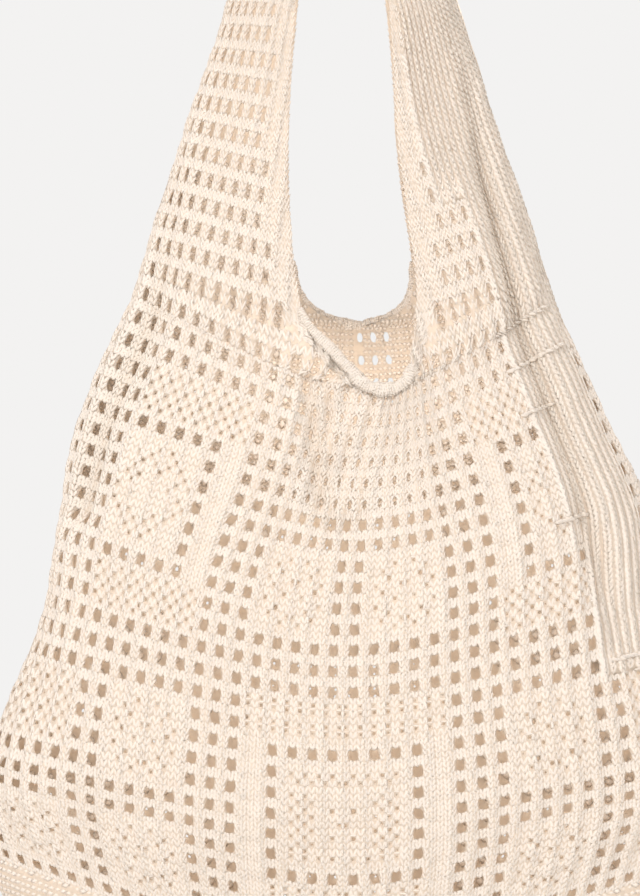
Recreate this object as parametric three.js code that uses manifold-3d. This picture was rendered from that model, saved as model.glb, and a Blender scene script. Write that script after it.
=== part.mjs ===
// A slouchy open-work knitted shoulder bag, hanging by its strap.
// Millimetres, +Z up, the front faces -Y. The origin is the point under the top of the strap
// where a shoulder or a hook carries it. The fabric is counted in eyelet cells, from the centre line
// to the side seam, and in eyelet rows, from the base to the top of the strap.
import * as THREE from "three";
import { mergeVertices } from "three/addons/utils/BufferGeometryUtils.js";
import Module from "manifold-3d";

// Driving dimensions
const WALL = 3; // thickness of the knitted fabric
const SEAM_GAP = 0.3; // clearance between pieces that are sewn together
const ROW_HEIGHT = { base: 6, panel: 10.8, top: 6.5 }; // least distance between rows at the seams
const CELLS = 18; // eyelet cells from the centre line to the side seam, under the neckline
const EDGE_CELLS = 12; // of these, the cells that the neckline narrows as it cuts into the strap
const BASE_ROWS = 5; // rows of the ribbed base, from the bottom fold to the panels
const PANEL_ROWS = 27; // eyelet rows from the base to the bottom of the neckline
const ALL_ROWS = 49; // eyelet rows from the base to the top of the strap
const PANEL_BOTTOM = -575; // height of the base's edge on the centre line
const BASE_DROP = 30; // how far the base hangs below that edge
const CORNER = { inward: 30, drop: 38 }; // the rounded corner of the base, at the side
const SQUARENESS = 2.3; // exponent of the level sections: 2 is an ellipse
const SAG = { round: 0.25, least: 0.01, fadeRows: 3 }; // how softly a row bends on the centre line
const SWAY = { most: 11, height: -285, span: 150 }; // the middle is pulled to the right at the neck
const LEAN = { most: 6, top: -290, full: -350 }; // the lower sides lean to the right
const NECK_REACH = 0.35; // share of a row over which the pull under the front's roll dies away
const GATHERED_CELLS = 6; // cells from the centre line that are drawn together under the neckline
const GATHER_ROWS = { from: 14, to: 26 }; // rows over which they are drawn together
const EYELET = { width: 6.2, height: 7.6, sides: 4, reach: 18 };

// Side outline seen from the front, from the corner of the base to the top of the strap.
const SIDE_OUTLINE = [
  { half: 192, z: -527 },
  { half: 198, z: -492 },
  { half: 188, z: -460 },
  { half: 175, z: -430 },
  { half: 162, z: -392 },
  { half: 156, z: -350 },
  { half: 148, z: -320 },
  { half: 131, z: -276 },
  { half: 112, z: -234 },
  { half: 99, z: -193 },
  { half: 83, z: -144 },
  { half: 61, z: -78 },
  { half: 52, z: -42 },
  { half: 33, z: -11 },
  { half: 0, z: WALL },
];

// Edge of the neck opening, from its lowest point up the strap to the lip below its top.
const FRONT_NECK = [
  { half: 0, z: -282 },
  { half: 22, z: -270 },
  { half: 31, z: -235 },
  { half: 31, z: -185 },
  { half: 28, z: -130 },
  { half: 25, z: -80 },
  { half: 18, z: -46 },
  { half: 0, z: -32 },
];
const BACK_NECK = [
  { half: 0, z: -247 },
  { half: 20, z: -241 },
  { half: 30, z: -231 },
  { half: 32, z: -210 },
  { half: 30, z: -170 },
  { half: 26, z: -100 },
  { half: 18, z: -46 },
  { half: 0, z: -32 },
];

// How far the front's neckline is drawn further to the right under its roll, on either half.
const NECK_PULL = [
  { z: -330, left: 0, right: 0 },
  { z: -282, left: 11, right: 11 },
  { z: -272, left: 15, right: 4 },
  { z: -262, left: 11, right: 0 },
  { z: -250, left: 3, right: 0 },
  { z: -243, left: 0, right: 0 },
];

// Half the bag's depth on the centre line or at the neck's edge, at even heights from the base up.
const HALF_DEPTH = [44, 60, 60, 50, 37, 28, 20, 14];
const DEPTH_TOP = -50;

// How far rows have climbed: their share of the side outline, and of the neck's edge.
const SIDE_ROWS = [
  { row: 0, share: 0 },
  { row: 6.5, share: 0.089 },
  { row: 13.5, share: 0.244 },
  { row: 22.5, share: 0.428 },
  { row: 28.5, share: 0.562 },
  { row: 39.5, share: 0.809 },
  { row: ALL_ROWS, share: 1 },
];
const NECK_ROWS = [
  { row: PANEL_ROWS, share: 0 },
  { row: 28.5, share: 0.2 },
  { row: 39.5, share: 0.784 },
  { row: ALL_ROWS, share: 1 },
];

// Cells that the neck's edge has cut away, and cells from the centre line to the side.
const NECK_CELLS = [
  { row: PANEL_ROWS, cells: 0 },
  { row: 27.5, cells: 2.9 },
  { row: 28, cells: 4.9 },
  { row: 28.5, cells: 6 },
  { row: 34, cells: 8 },
  { row: ALL_ROWS, cells: 11.6 },
];
const SIDE_CELLS = [
  { row: 0, cells: 20.6 },
  { row: 6, cells: 20 },
  { row: 13, cells: 18.5 },
  { row: 22, cells: CELLS },
];

// Share of a row that the front's cells take up under the neckline.
const GATHER = [
  { cell: 0, share: 0 },
  { cell: GATHERED_CELLS, share: 0.25 },
  { cell: CELLS, share: 1 },
];

// Folds and gathers pressed into the front: soft troughs from one cell and row to another, which deepen
// over a share of their length. They fade over the last share of a row, so that the side seam stays straight.
const FOLD_FADE = { from: 0.92, to: 0.985 };
const FOLDS = [
  { cell: [-15.4, -15.9], row: [30.5, 18], width: 1, depth: 7, deepening: 0.4 },
  { cell: [-6.4, -2.6], row: [28.2, 21.5], width: 0.7, depth: 6.5, deepening: 0 },
  { cell: [-4.2, -1.6], row: [27.6, 20.5], width: 0.6, depth: 4, deepening: 0 },
  { cell: [-2.4, -0.6], row: [27.2, 20.5], width: 0.6, depth: 3, deepening: 0 },
  { cell: [-0.8, 0.4], row: [27, 21], width: 0.6, depth: 2.5, deepening: 0 },
  { cell: [15.9, 13.7], row: [38.6, 30], width: 0.8, depth: 8, deepening: 0.9 },
  { cell: [13.7, 13], row: [30, 18], width: 0.8, depth: 8, deepening: 0 },
  { cell: [14.4, 13], row: [11, 18], width: 0.8, depth: 8, deepening: 0.8 },
];

// Ribs of the squeezed right-hand strap, one to a cell, past a cell and a row.
const STRAP_RIBS = { height: 2, firstCell: 11, fromRow: 27.5, fadeRows: 3 };

// The eyelets that are cut through each panel: a band of columns on either side.
const EYELET_BAND = { cells: [5.5, 6.5, 7.5], firstRow: 14.5, rows: 5 };

// The rolled rims of the neckline: their greatest radius, the rows where they end on the left and on the
// right, and the share of that radius that they have along their run from left to right.
const RIMS = {
  front: { radius: 3.6, leftRow: 28.7, rightRow: 27.75 },
  back: { radius: 3.4, leftRow: 28.9, rightRow: 28.9 },
};
const RIM_SWELL = [
  { run: 0, share: 0.45 },
  { run: 0.08, share: 0.65 },
  { run: 0.3, share: 0.8 },
  { run: 0.65, share: 1 },
  { run: 0.85, share: 1 },
  { run: 0.95, share: 0.8 },
  { run: 1, share: 0.4 },
];
const RIM_STEPS = { half: 12, sides: 8 };

// Columns, in cells, and steps of rows at which the fabric is shaped.
const COLUMNS = {
  front: {
    left: [
      ...span(0, GATHERED_CELLS, 9),
      ...span(GATHERED_CELLS, EDGE_CELLS, 3).slice(1),
      ...span(EDGE_CELLS, CELLS, 8).slice(1),
    ],
    right: [...span(0, EDGE_CELLS, 6), ...span(EDGE_CELLS, CELLS, 12).slice(1)],
  },
  back: {
    left: [...span(0, EDGE_CELLS, 6), ...span(EDGE_CELLS, CELLS, 4).slice(1)],
    right: [...span(0, EDGE_CELLS, 6), ...span(EDGE_CELLS, CELLS, 4).slice(1)],
  },
};
const PANEL_STEPS = 14;
const BASE_STEPS = { rows: 4, columns: 26 };
const STRAP_STEPS = { neckRow: 28.5, neck: 6, bandRow: 44, band: 5, top: 4 };

const COLOURS = { panel: 0xf4e4cc, strap: 0xf4e4cc, base: 0xf2e1c8, rim: 0xf0dcbf };

const wasm = await Module();
wasm.setup();

const clamp = THREE.MathUtils.clamp;
const smoothstep = THREE.MathUtils.smoothstep;
const pairs = (list) => list.slice(1).map((next, i) => [list[i], next]);
const halfSeam = (rowHeight) => SEAM_GAP / 2 / rowHeight;

function span(from, to, steps) {
  return Array.from({ length: steps + 1 }, (_, i) => from + ((to - from) * i) / steps);
}

// Reads a column of a table, mostly by row, along straight lines between its entries.
function lookUp(table, column, place, by = "row") {
  const above = table.findIndex((entry) => entry[by] > place);
  const i = clamp(above < 0 ? table.length - 2 : above - 1, 0, table.length - 2);
  const [low, high] = [table[i], table[i + 1]];
  const along = clamp((place - low[by]) / (high[by] - low[by]), 0, 1);
  return THREE.MathUtils.lerp(low[column], high[column], along);
}

// A smooth line through a half outline and its mirror image.
function mirroredLine(half, closed) {
  const right = half.map((p) => new THREE.Vector3(p.half, 0, p.z));
  const rest = half.slice(closed ? 1 : 0, -1).reverse();
  const left = rest.map((p) => new THREE.Vector3(-p.half, 0, p.z));
  const line = new THREE.CatmullRomCurve3([...right, ...left], closed, "catmullrom", 0.5);
  line.arcLengthDivisions = 400;
  return line;
}

const sideLine = mirroredLine(SIDE_OUTLINE, false);
const neckLines = { front: mirroredLine(FRONT_NECK, true), back: mirroredLine(BACK_NECK, true) };
const depthLine = new THREE.SplineCurve(HALF_DEPTH.map((depth, i) => new THREE.Vector2(i, depth)));

// Angle round the underside, 0 at the base's edge and a right angle at the bottom fold.
const underTurn = (row) => (clamp(-row / BASE_ROWS, 0, 1) * Math.PI) / 2;

function outerEnd(row) {
  const up = sideLine.getPointAt(lookUp(SIDE_ROWS, "share", row) / 2);
  const turn = underTurn(row);
  return { x: up.x - CORNER.inward * (1 - Math.cos(turn)), z: up.z - CORNER.drop * Math.sin(turn) };
}

function innerEnd(face, row) {
  const neck = neckLines[face];
  if (row >= PANEL_ROWS) {
    const edge = neck.getPointAt(lookUp(NECK_ROWS, "share", row) / 2);
    return { x: Math.max(edge.x, 0), z: edge.z };
  }
  const bottom = PANEL_BOTTOM - BASE_DROP * Math.sin(underTurn(row));
  const rise = neck.points[0].z - PANEL_BOTTOM;
  return { x: 0, z: bottom + (rise * Math.max(row, 0)) / PANEL_ROWS };
}

function halfDepth(face, row) {
  const along = (innerEnd(face, row).z - PANEL_BOTTOM) / (DEPTH_TOP - PANEL_BOTTOM);
  return depthLine.getPoint(clamp(along, 0, 1)).y * Math.cos(underTurn(row));
}

// How far the fabric is drawn to the right, in its middle, at its sides and under the front's roll.
function sidewaysPull(face, side, z, share) {
  const off = clamp((z - SWAY.height) / SWAY.span, -1, 1);
  const middle = SWAY.most * Math.cos((Math.PI / 2) * off) ** 2;
  const atSide = LEAN.most * smoothstep(-z, -LEAN.top, -LEAN.full);
  const drawn = face === "front" ? lookUp(NECK_PULL, side < 0 ? "left" : "right", z, "z") : 0;
  const underRoll = drawn * Math.max(1 - share / NECK_REACH, 0) ** 2;
  return middle * (1 - share * share) + atSide * share + underRoll;
}

// One row of the fabric, from the centre line or the neck's edge to the side, with its length so far.
const ROW_SAMPLES = 64;
const rowStore = new Map();
function rowLine(face, row) {
  const key = face + row.toFixed(5);
  if (rowStore.has(key)) return rowStore.get(key);
  const inner = innerEnd(face, row);
  const outer = outerEnd(row);
  const depth = (face === "front" ? -1 : 1) * halfDepth(face, row);
  const soft = SAG.least + SAG.round * (1 - smoothstep(row, PANEL_ROWS, PANEL_ROWS + SAG.fadeRows));
  const points = span(0, Math.PI / 2, ROW_SAMPLES).map((turn) => {
    const across = Math.sin(turn) ** (2 / SQUARENESS);
    const out = Math.max(Math.cos(turn), 0) ** (2 / SQUARENESS);
    const bend = (Math.hypot(across, soft) - soft) / (Math.hypot(1, soft) - soft);
    const x = inner.x + (outer.x - inner.x) * across;
    return new THREE.Vector3(x, depth * out, inner.z + (outer.z - inner.z) * bend);
  });
  const lengths = [0];
  for (const [a, b] of pairs(points)) lengths.push(lengths.at(-1) + a.distanceTo(b));
  rowStore.set(key, { points, lengths });
  return rowStore.get(key);
}

// The smooth outer surface. Side is -1 or 1, share runs from 0 at the centre or neck to 1 at the side,
// past which the surface goes on as its own mirror image.
function smoothPoint(face, side, reach, row) {
  const { points, lengths } = rowLine(face, row);
  const share = reach > 1 ? 2 - reach : reach;
  const wanted = share * lengths.at(-1);
  let i = 1;
  while (i < ROW_SAMPLES && lengths[i] < wanted) i++;
  const along = (wanted - lengths[i - 1]) / (lengths[i] - lengths[i - 1]);
  const point = points[i - 1].clone().lerp(points[i], along);
  const y = reach > 1 ? -point.y : point.y;
  return new THREE.Vector3(side * point.x + sidewaysPull(face, side, point.z, share), y, point.z);
}

// Outward direction of the surface. On the strap, rows lie square to the way the strap runs.
const NORMAL_STEP = { share: 0.004, row: 0.05 };
const NORMAL_BLEND = { rows: 3, share: 0.5 };
function smoothNormal(face, side, share, row) {
  const nearer = Math.max(share - NORMAL_STEP.share, 0);
  const farther = share + NORMAL_STEP.share;
  const lower = Math.max(row - NORMAL_STEP.row, -BASE_ROWS);
  const upper = Math.min(row + NORMAL_STEP.row, ALL_ROWS);
  const outward = face === "front" ? side : -side;
  const across = smoothPoint(face, side, farther, row).sub(smoothPoint(face, side, nearer, row));
  const course = smoothPoint(face, side, 1, row).sub(smoothPoint(face, side, 0, row));
  const sideWay = smoothPoint(face, side, 1, upper).sub(smoothPoint(face, side, 1, lower)).normalize();
  const along = new THREE.Vector3(-course.z * side, 0, course.x * side).normalize();
  along.lerp(sideWay, smoothstep(share, NORMAL_BLEND.share, 1));
  const strapNormal = across.clone().cross(along).normalize().multiplyScalar(outward);
  if (row >= PANEL_ROWS) return strapNormal;
  const up = smoothPoint(face, side, share, upper).sub(smoothPoint(face, side, share, lower));
  const panelNormal = across.cross(up).normalize().multiplyScalar(outward);
  const blend = smoothstep(row, PANEL_ROWS - NORMAL_BLEND.rows, PANEL_ROWS);
  return panelNormal.lerp(strapNormal, blend).normalize();
}

function foldDepth(cell, row) {
  const depths = FOLDS.map((fold) => {
    const along = new THREE.Vector2(fold.cell[1] - fold.cell[0], fold.row[1] - fold.row[0]);
    const from = new THREE.Vector2(cell - fold.cell[0], row - fold.row[0]);
    const nearest = clamp(from.dot(along) / along.lengthSq(), 0, 1);
    const off = from.sub(along.multiplyScalar(nearest)).length() / fold.width;
    const grown = fold.deepening > 0 ? smoothstep(nearest, 0, fold.deepening) : 1;
    return fold.depth * grown * Math.exp(-off * off);
  });
  return Math.max(...depths);
}

function ribHeight(side, cell, row) {
  if (side < 0) return 0;
  const past = smoothstep(cell, STRAP_RIBS.firstCell, STRAP_RIBS.firstCell + 1);
  const rise = smoothstep(row, STRAP_RIBS.fromRow, STRAP_RIBS.fromRow + STRAP_RIBS.fadeRows);
  const ease = 1 - smoothstep(row, ALL_ROWS - STRAP_RIBS.fadeRows, ALL_ROWS);
  return STRAP_RIBS.height * past * rise * ease * Math.cos(2 * Math.PI * cell);
}

// The cell that a column has reached in a row: panels widen downwards, straps are cut by the neck.
function cellAt(column, row) {
  if (row <= PANEL_ROWS) return (column * lookUp(SIDE_CELLS, "cells", row)) / CELLS;
  const cut = lookUp(NECK_CELLS, "cells", row);
  return column < EDGE_CELLS ? cut + ((EDGE_CELLS - cut) * column) / EDGE_CELLS : column;
}

// How far across its row a cell lies, with the cells under the neckline drawn together.
function spread(cell, row) {
  const drawn = lookUp(GATHER, "share", cell, "cell");
  return THREE.MathUtils.lerp(cell / CELLS, drawn, smoothstep(row, GATHER_ROWS.from, GATHER_ROWS.to));
}

// Share of a row, from the centre line or the neck's edge to the side, at a cell.
function cellShare(face, cell, row) {
  const cells = [lookUp(NECK_CELLS, "cells", row), cell, lookUp(SIDE_CELLS, "cells", row)];
  const [first, here, last] = face === "front" ? cells.map((place) => spread(place, row)) : cells;
  return (here - first) / (last - first);
}

// Outer and inner points of the knitted wall, kept off the side seam by a share of the row.
function wallPoints(face, side, column, row, offSeam = 0) {
  const cell = cellAt(column, row);
  const share = Math.min(cellShare(face, cell, row), 1 - offSeam);
  const normal = smoothNormal(face, side, share, row);
  const fade = 1 - smoothstep(share, FOLD_FADE.from, FOLD_FADE.to);
  const pressed = face === "front" ? fade * foldDepth(side * cell, row) : 0;
  const raised = face === "front" ? ribHeight(side, cell, row) : 0;
  const outer = smoothPoint(face, side, share, row).addScaledVector(normal, raised - pressed);
  return { outer, inner: outer.clone().addScaledVector(normal, -WALL) };
}

// Welds shared corners and drops the faces that have no area.
const WELD = 1e-3;
function closedGeometry(corners) {
  const welded = mergeVertices(new THREE.BufferGeometry().setFromPoints(corners), WELD);
  const kept = [];
  const index = welded.index.array;
  for (let i = 0; i < index.length; i += 3) {
    const [a, b, c] = [index[i], index[i + 1], index[i + 2]];
    if (a !== b && b !== c && a !== c) kept.push(a, b, c);
  }
  welded.setIndex(kept);
  return welded;
}

// A closed wall from a grid of outer and inner points. Ends that are folded shut have no edge faces.
function wallGeometry(grid, endsOpen) {
  const corners = [];
  const quad = (a, b, c, d) => corners.push(a, b, c, a, c, d);
  const edge = (a, b) => quad(a.outer, a.inner, b.inner, b.outer);
  for (const [low, high] of pairs(grid)) {
    for (let c = 0; c < low.length - 1; c++) {
      quad(low[c].outer, low[c + 1].outer, high[c + 1].outer, high[c].outer);
      quad(low[c].inner, high[c].inner, high[c + 1].inner, low[c + 1].inner);
    }
    if (endsOpen) {
      edge(high[0], low[0]);
      edge(low.at(-1), high.at(-1));
    }
  }
  for (const [a, b] of pairs(grid[0])) edge(a, b);
  for (const [a, b] of pairs(grid.at(-1))) edge(b, a);
  return closedGeometry(corners);
}

function solidFrom(geometry) {
  const vertProperties = new Float32Array(geometry.getAttribute("position").array);
  const triVerts = new Uint32Array(geometry.index.array);
  return new wasm.Manifold(new wasm.Mesh({ numProp: 3, vertProperties, triVerts }));
}

function geometryFrom(solid) {
  const { vertProperties, triVerts, numProp } = solid.getMesh();
  const corners = Array.from(triVerts, (v) => new THREE.Vector3().fromArray(vertProperties, v * numProp));
  return closedGeometry(corners);
}

function pieceMesh(name, geometry, colour) {
  const material = new THREE.MeshStandardMaterial({ color: colour, roughness: 0.95, metalness: 0 });
  geometry.computeVertexNormals();
  const mesh = new THREE.Mesh(geometry, material);
  mesh.name = name;
  return mesh;
}

// A tool that cuts one eyelet square through the fabric.
function eyeletPunch(face, side, cell, row) {
  const share = cellShare(face, cell, row);
  const normal = smoothNormal(face, side, share, row);
  const centre = smoothPoint(face, side, share, row);
  const above = smoothPoint(face, side, share, row + 0.5);
  const up = above.sub(centre).projectOnPlane(normal).normalize();
  const across = normal.clone().cross(up);
  const placed = new THREE.Matrix4().makeBasis(
    across.multiplyScalar(EYELET.width),
    normal.multiplyScalar(EYELET.reach),
    up.multiplyScalar(EYELET.height),
  );
  placed.setPosition(centre);
  const punch = new THREE.CylinderGeometry(0.5, 0.5, 1, EYELET.sides).applyMatrix4(placed);
  punch.deleteAttribute("normal");
  punch.deleteAttribute("uv");
  return solidFrom(mergeVertices(punch, WELD));
}

// Front or back panel, from the base up to the bottom of the neckline, between the side seams.
function panel(face) {
  const left = COLUMNS[face].left.slice(1).reverse().map((column) => [-1, column]);
  const right = COLUMNS[face].right.map((column) => [1, column]);
  const across = face === "front" ? [...left, ...right] : [...left, ...right].reverse();
  const offSeam = SEAM_GAP / 2 / rowLine(face, PANEL_ROWS).lengths.at(-1);
  const rowGap = halfSeam(ROW_HEIGHT.panel);
  const rows = span(rowGap, PANEL_ROWS - rowGap, PANEL_STEPS);
  const wallRow = (row) => across.map(([side, column]) => wallPoints(face, side, column, row, offSeam));
  const grid = rows.map(wallRow);
  let solid = solidFrom(wallGeometry(grid, true));
  for (const side of [-1, 1]) {
    for (const cell of EYELET_BAND.cells) {
      for (let i = 0; i < EYELET_BAND.rows; i++) {
        solid = solid.subtract(eyeletPunch(face, side, cell, EYELET_BAND.firstRow + i));
      }
    }
  }
  return pieceMesh(face + "_panel", geometryFrom(solid), COLOURS.panel);
}

// The ribbed base: a boat-shaped trough whose two halves share the bottom fold and both end folds.
function base() {
  const rows = span(-halfSeam(ROW_HEIGHT.base), -BASE_ROWS, BASE_STEPS.rows);
  const columns = span(-CELLS, CELLS, BASE_STEPS.columns);
  const half = (face) =>
    rows.map((row) => columns.map((c) => wallPoints(face, c < 0 ? -1 : 1, Math.abs(c), row)));
  const front = half("front");
  const back = half("back").map((row, i) => [front[i][0], ...row.slice(1, -1), front[i].at(-1)]);
  const grid = [...back.slice(0, -1), ...front.reverse()];
  return pieceMesh("base", wallGeometry(grid, false), COLOURS.base);
}

// Half of the shoulder strap: a band folded along its outer side, open towards the neck.
function strap(name, side) {
  const rows = [
    ...span(PANEL_ROWS + halfSeam(ROW_HEIGHT.panel), STRAP_STEPS.neckRow, STRAP_STEPS.neck),
    ...span(STRAP_STEPS.neckRow, STRAP_STEPS.bandRow, STRAP_STEPS.band).slice(1),
    ...span(STRAP_STEPS.bandRow, ALL_ROWS - halfSeam(ROW_HEIGHT.top), STRAP_STEPS.top).slice(1),
  ];
  const hand = side < 0 ? "left" : "right";
  const frontColumns = COLUMNS.front[hand].map((column) => ["front", column]);
  const backColumns = COLUMNS.back[hand].slice(0, -1).reverse().map((column) => ["back", column]);
  const around = [...frontColumns, ...backColumns];
  if (side < 0) around.reverse();
  const grid = rows.map((row) => around.map(([face, column]) => wallPoints(face, side, column, row)));
  return pieceMesh(name, wallGeometry(grid, true), COLOURS.strap);
}

// The neckline's edge, rolled outwards: a soft roll that lies against the fabric and thins at its ends.
function rim(face) {
  const { radius, leftRow, rightRow } = RIMS[face];
  const left = span(leftRow, PANEL_ROWS, RIM_STEPS.half).map((row) => [-1, row]);
  const right = span(PANEL_ROWS, rightRow, RIM_STEPS.half).slice(1).map((row) => [1, row]);
  const path = [...left, ...right];
  const edge = path.map(([side, row]) => smoothPoint(face, side, 0, row));
  const runs = [0];
  for (const [a, b] of pairs(edge)) runs.push(runs.at(-1) + a.distanceTo(b));
  const stations = path.map(([side, row], i) => {
    const normal = smoothNormal(face, side, 0, row);
    const thick = radius * lookUp(RIM_SWELL, "share", runs[i] / runs.at(-1), "run");
    const centre = edge[i].clone().addScaledVector(normal, thick + SEAM_GAP);
    return { centre, normal, thick };
  });
  const rings = stations.map(({ centre, normal, thick }, i) => {
    const ahead = stations[Math.min(i + 1, stations.length - 1)].centre;
    const behind = stations[Math.max(i - 1, 0)].centre;
    const sideways = ahead.clone().sub(behind).normalize().cross(normal).normalize();
    return span(0, 2 * Math.PI, RIM_STEPS.sides).slice(1).map((turn) => {
      const outward = centre.clone().addScaledVector(normal, thick * Math.cos(turn));
      return outward.addScaledVector(sideways, thick * Math.sin(turn));
    });
  });
  const corners = [];
  for (const [near, far] of pairs(rings)) {
    for (let k = 0; k < RIM_STEPS.sides; k++) {
      const next = (k + 1) % RIM_STEPS.sides;
      corners.push(near[k], near[next], far[next], near[k], far[next], far[k]);
    }
  }
  const [head, tail] = [rings[0], rings.at(-1)];
  for (let k = 1; k < RIM_STEPS.sides - 1; k++) {
    corners.push(head[0], head[k + 1], head[k], tail[0], tail[k], tail[k + 1]);
  }
  const solid = solidFrom(closedGeometry(corners));
  return pieceMesh(face + "_rim", geometryFrom(solid), COLOURS.rim);
}

const bag = new THREE.Group();
bag.name = "crochet_bag";
bag.add(panel("front"), panel("back"), base());
bag.add(strap("left_strap", -1), strap("right_strap", 1));
bag.add(rim("front"), rim("back"));

export default bag;
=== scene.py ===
"""A slouchy open-work knitted shoulder bag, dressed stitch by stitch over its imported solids.

The bag hangs by its strap. Metres in Blender; the tables here are in millimetres, as in the solids.
The fabric is laid out in cells of three wales and four courses: a cell number counts from the centre
line to the side seam, a row number from the base to the top of the strap.
"""
import functools
import math

import bmesh
import bpy
import numpy as np
from mathutils import Euler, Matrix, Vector


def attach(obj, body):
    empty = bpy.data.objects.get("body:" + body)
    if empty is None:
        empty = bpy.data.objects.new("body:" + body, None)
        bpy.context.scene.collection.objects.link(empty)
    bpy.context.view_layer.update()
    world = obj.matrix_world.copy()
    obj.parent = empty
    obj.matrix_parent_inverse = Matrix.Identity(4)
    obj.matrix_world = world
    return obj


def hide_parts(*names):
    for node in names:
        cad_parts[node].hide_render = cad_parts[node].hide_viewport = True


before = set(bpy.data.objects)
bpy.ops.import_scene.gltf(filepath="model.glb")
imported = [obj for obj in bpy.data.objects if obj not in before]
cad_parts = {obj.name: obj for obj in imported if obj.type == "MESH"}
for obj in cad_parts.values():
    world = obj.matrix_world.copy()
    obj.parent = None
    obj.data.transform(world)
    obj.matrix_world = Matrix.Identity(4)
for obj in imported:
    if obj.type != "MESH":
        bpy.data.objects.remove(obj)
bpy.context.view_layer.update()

MM = 0.001

# Driving sizes of the bag, in millimetres, cells and rows
BASE_ROWS = 5
PANEL_ROWS = 27
ALL_ROWS = 49
SEAM_ROWS = (0, PANEL_ROWS)
PANEL_BOTTOM = -575.0
BASE_DROP = 30.0
CORNER_INWARD = 30.0
CORNER_DROP = 38.0
SQUARENESS = 2.3
SAG_ROUND = 0.25
WALES = 3
COURSES = 4

# The middle of the bag is pulled to the right under the neck, and its lower sides lean to the right
SWAY = {"most": 11.0, "height": -285.0, "span": 150.0}
LEAN = {"most": 6.0, "top": -290.0, "full": -350.0}
# The front's neckline is drawn further to the right under its roll, by height, on its left and right half
NECK_PULL = {
    "height": [-330, -282, -272, -262, -250, -243],
    "left": [0, 11, 15, 11, 3, 0],
    "right": [0, 11, 4, 0, 0, 0],
}
NECK_REACH = 0.35

# Side outline from the corner of the base to the top of the strap: half width, height
SIDE_OUTLINE = [
    (192, -527), (198, -492), (188, -460), (175, -430), (162, -392), (156, -350), (148, -320), (131, -276),
    (112, -234), (99, -193), (83, -144), (61, -78), (52, -42), (33, -11), (0, 3),
]
# Edge of the neck opening, from its lowest point to the lip under the top of the strap
NECK_EDGE = {
    "front": [(0, -282), (22, -270), (31, -235), (31, -185), (28, -130), (25, -80), (18, -46), (0, -32)],
    "back": [(0, -247), (20, -241), (30, -231), (32, -210), (30, -170), (26, -100), (18, -46), (0, -32)],
}
# Half the depth at even heights, from the base's edge up to the strap
HALF_DEPTH = [44, 60, 60, 50, 37, 28, 20, 14]
DEPTH_TOP = -50.0
# Where rows end: share of the side outline and of the neck's edge that they have climbed
SIDE_ROWS = {
    "row": [0, 6.5, 13.5, 22.5, 28.5, 39.5, 49],
    "share": [0, 0.089, 0.244, 0.428, 0.562, 0.809, 1],
}
NECK_ROWS = {"row": [27, 28.5, 39.5, 49], "share": [0, 0.2, 0.784, 1]}
# Cells cut away by the neck's edge, and cells from the centre line to the side, by row
NECK_CELLS = {"row": [27, 27.5, 28, 28.5, 34, 49], "cells": [0, 2.9, 4.9, 6, 8, 11.6]}
SIDE_CELLS = {"row": [0, 6, 13, 22], "cells": [20.6, 20, 18.5, 18]}
# The front's cells under the neckline are drawn together: their share of the row there, and the rows
# where it sets in
GATHER = {"cells": [0, 6, 18], "share": [0, 0.25, 1]}
GATHER_ROWS = (14, 26)
# Soft troughs pressed into the front: cell and row at both ends, width in cells, depth, and the share of
# their length over which they deepen
FOLDS = [
    ((-15.4, 30.5), (-15.9, 18.0), 1.0, 7.0, 0.4),
    ((-6.4, 28.2), (-2.6, 21.5), 0.7, 6.5, 0.25),
    ((-4.2, 27.6), (-1.6, 20.5), 0.6, 4.0, 0.0),
    ((-2.4, 27.2), (-0.6, 20.5), 0.6, 3.0, 0.0),
    ((-0.8, 27.0), (0.4, 21.0), 0.6, 2.5, 0.0),
    ((15.9, 38.6), (13.7, 30.0), 0.8, 8.0, 0.9),
    ((13.7, 30.0), (13.0, 18.0), 0.8, 8.0, 0.0),
    ((14.4, 11.0), (13.0, 18.0), 0.8, 8.0, 0.8),
]
# Where the front's right side is all cords: from cell, to cell, from row, to row, and the rows over which
# they rise; those that run up the strap end past its top
PAST_TOP = ALL_ROWS + 2
CORDS = [(12, 16, 17, PAST_TOP), (16, 18, 25, PAST_TOP), (10, 12, 32, PAST_TOP), (13, 16, 11, 20)]
CORD_RISE = 1.5
# From a rib's ridge to the valley beside it, in shares of its height
RIB_FALL = 1.5
# Relief of the ribs between eyelet columns, on the panels and straps, and of the cords on the right
PANEL_RIB = 1.1
COURSE_RIB = -0.3
GATHER_RIB = 0.8
STRAP_RIB = 0.8
BACK_RIB = 0.3
CORD_RIB = 0.8
# Cells and rows over which the gathers' ribs take over from the panel's, and rows over which the strap's do
GATHER_RIB_CELLS = (4, 6)
GATHER_RIB_ROWS = (17, 20)
STRAP_RIB_ROWS = (PANEL_ROWS - 1, PANEL_ROWS + 4)
# Rows over which the ribs flatten out, towards the base and towards the top of the strap
BASE_EASE = (-1, 2)
TOP_EASE = (ALL_ROWS - 3, ALL_ROWS)
# The soft fabric is nowhere quite flat: height of its slow and quick waves, and the rows where they set in
SLOW_WAVE = 0.9
QUICK_WAVE = 0.35
WAVE_ROWS = (0, 3)
# Across the panels the rows sag in a round bow, which tightens to a corner over the strap's first rows
SAG_ROWS = (PANEL_ROWS, PANEL_ROWS + 3)
SAG_LEAST = 0.01
# Outward directions turn from the panel's to the strap's over these rows, and on the strap they turn to
# follow the side between these shares of a row
LIE_ROWS = (PANEL_ROWS - 3, PANEL_ROWS)
SIDE_SHARES = (0.5, 1)

# Layers of the fabric, measured outwards from the surface of the solids
CLOTH_LIFT = -0.35
CLOTH_THICKNESS = 1.3
STITCH_LIFT = -0.5
STITCH_HEIGHT = 0.6
# Stitches stand this much higher for each millimetre of a fold's depth
FOLD_LIFT = 0.05
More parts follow.
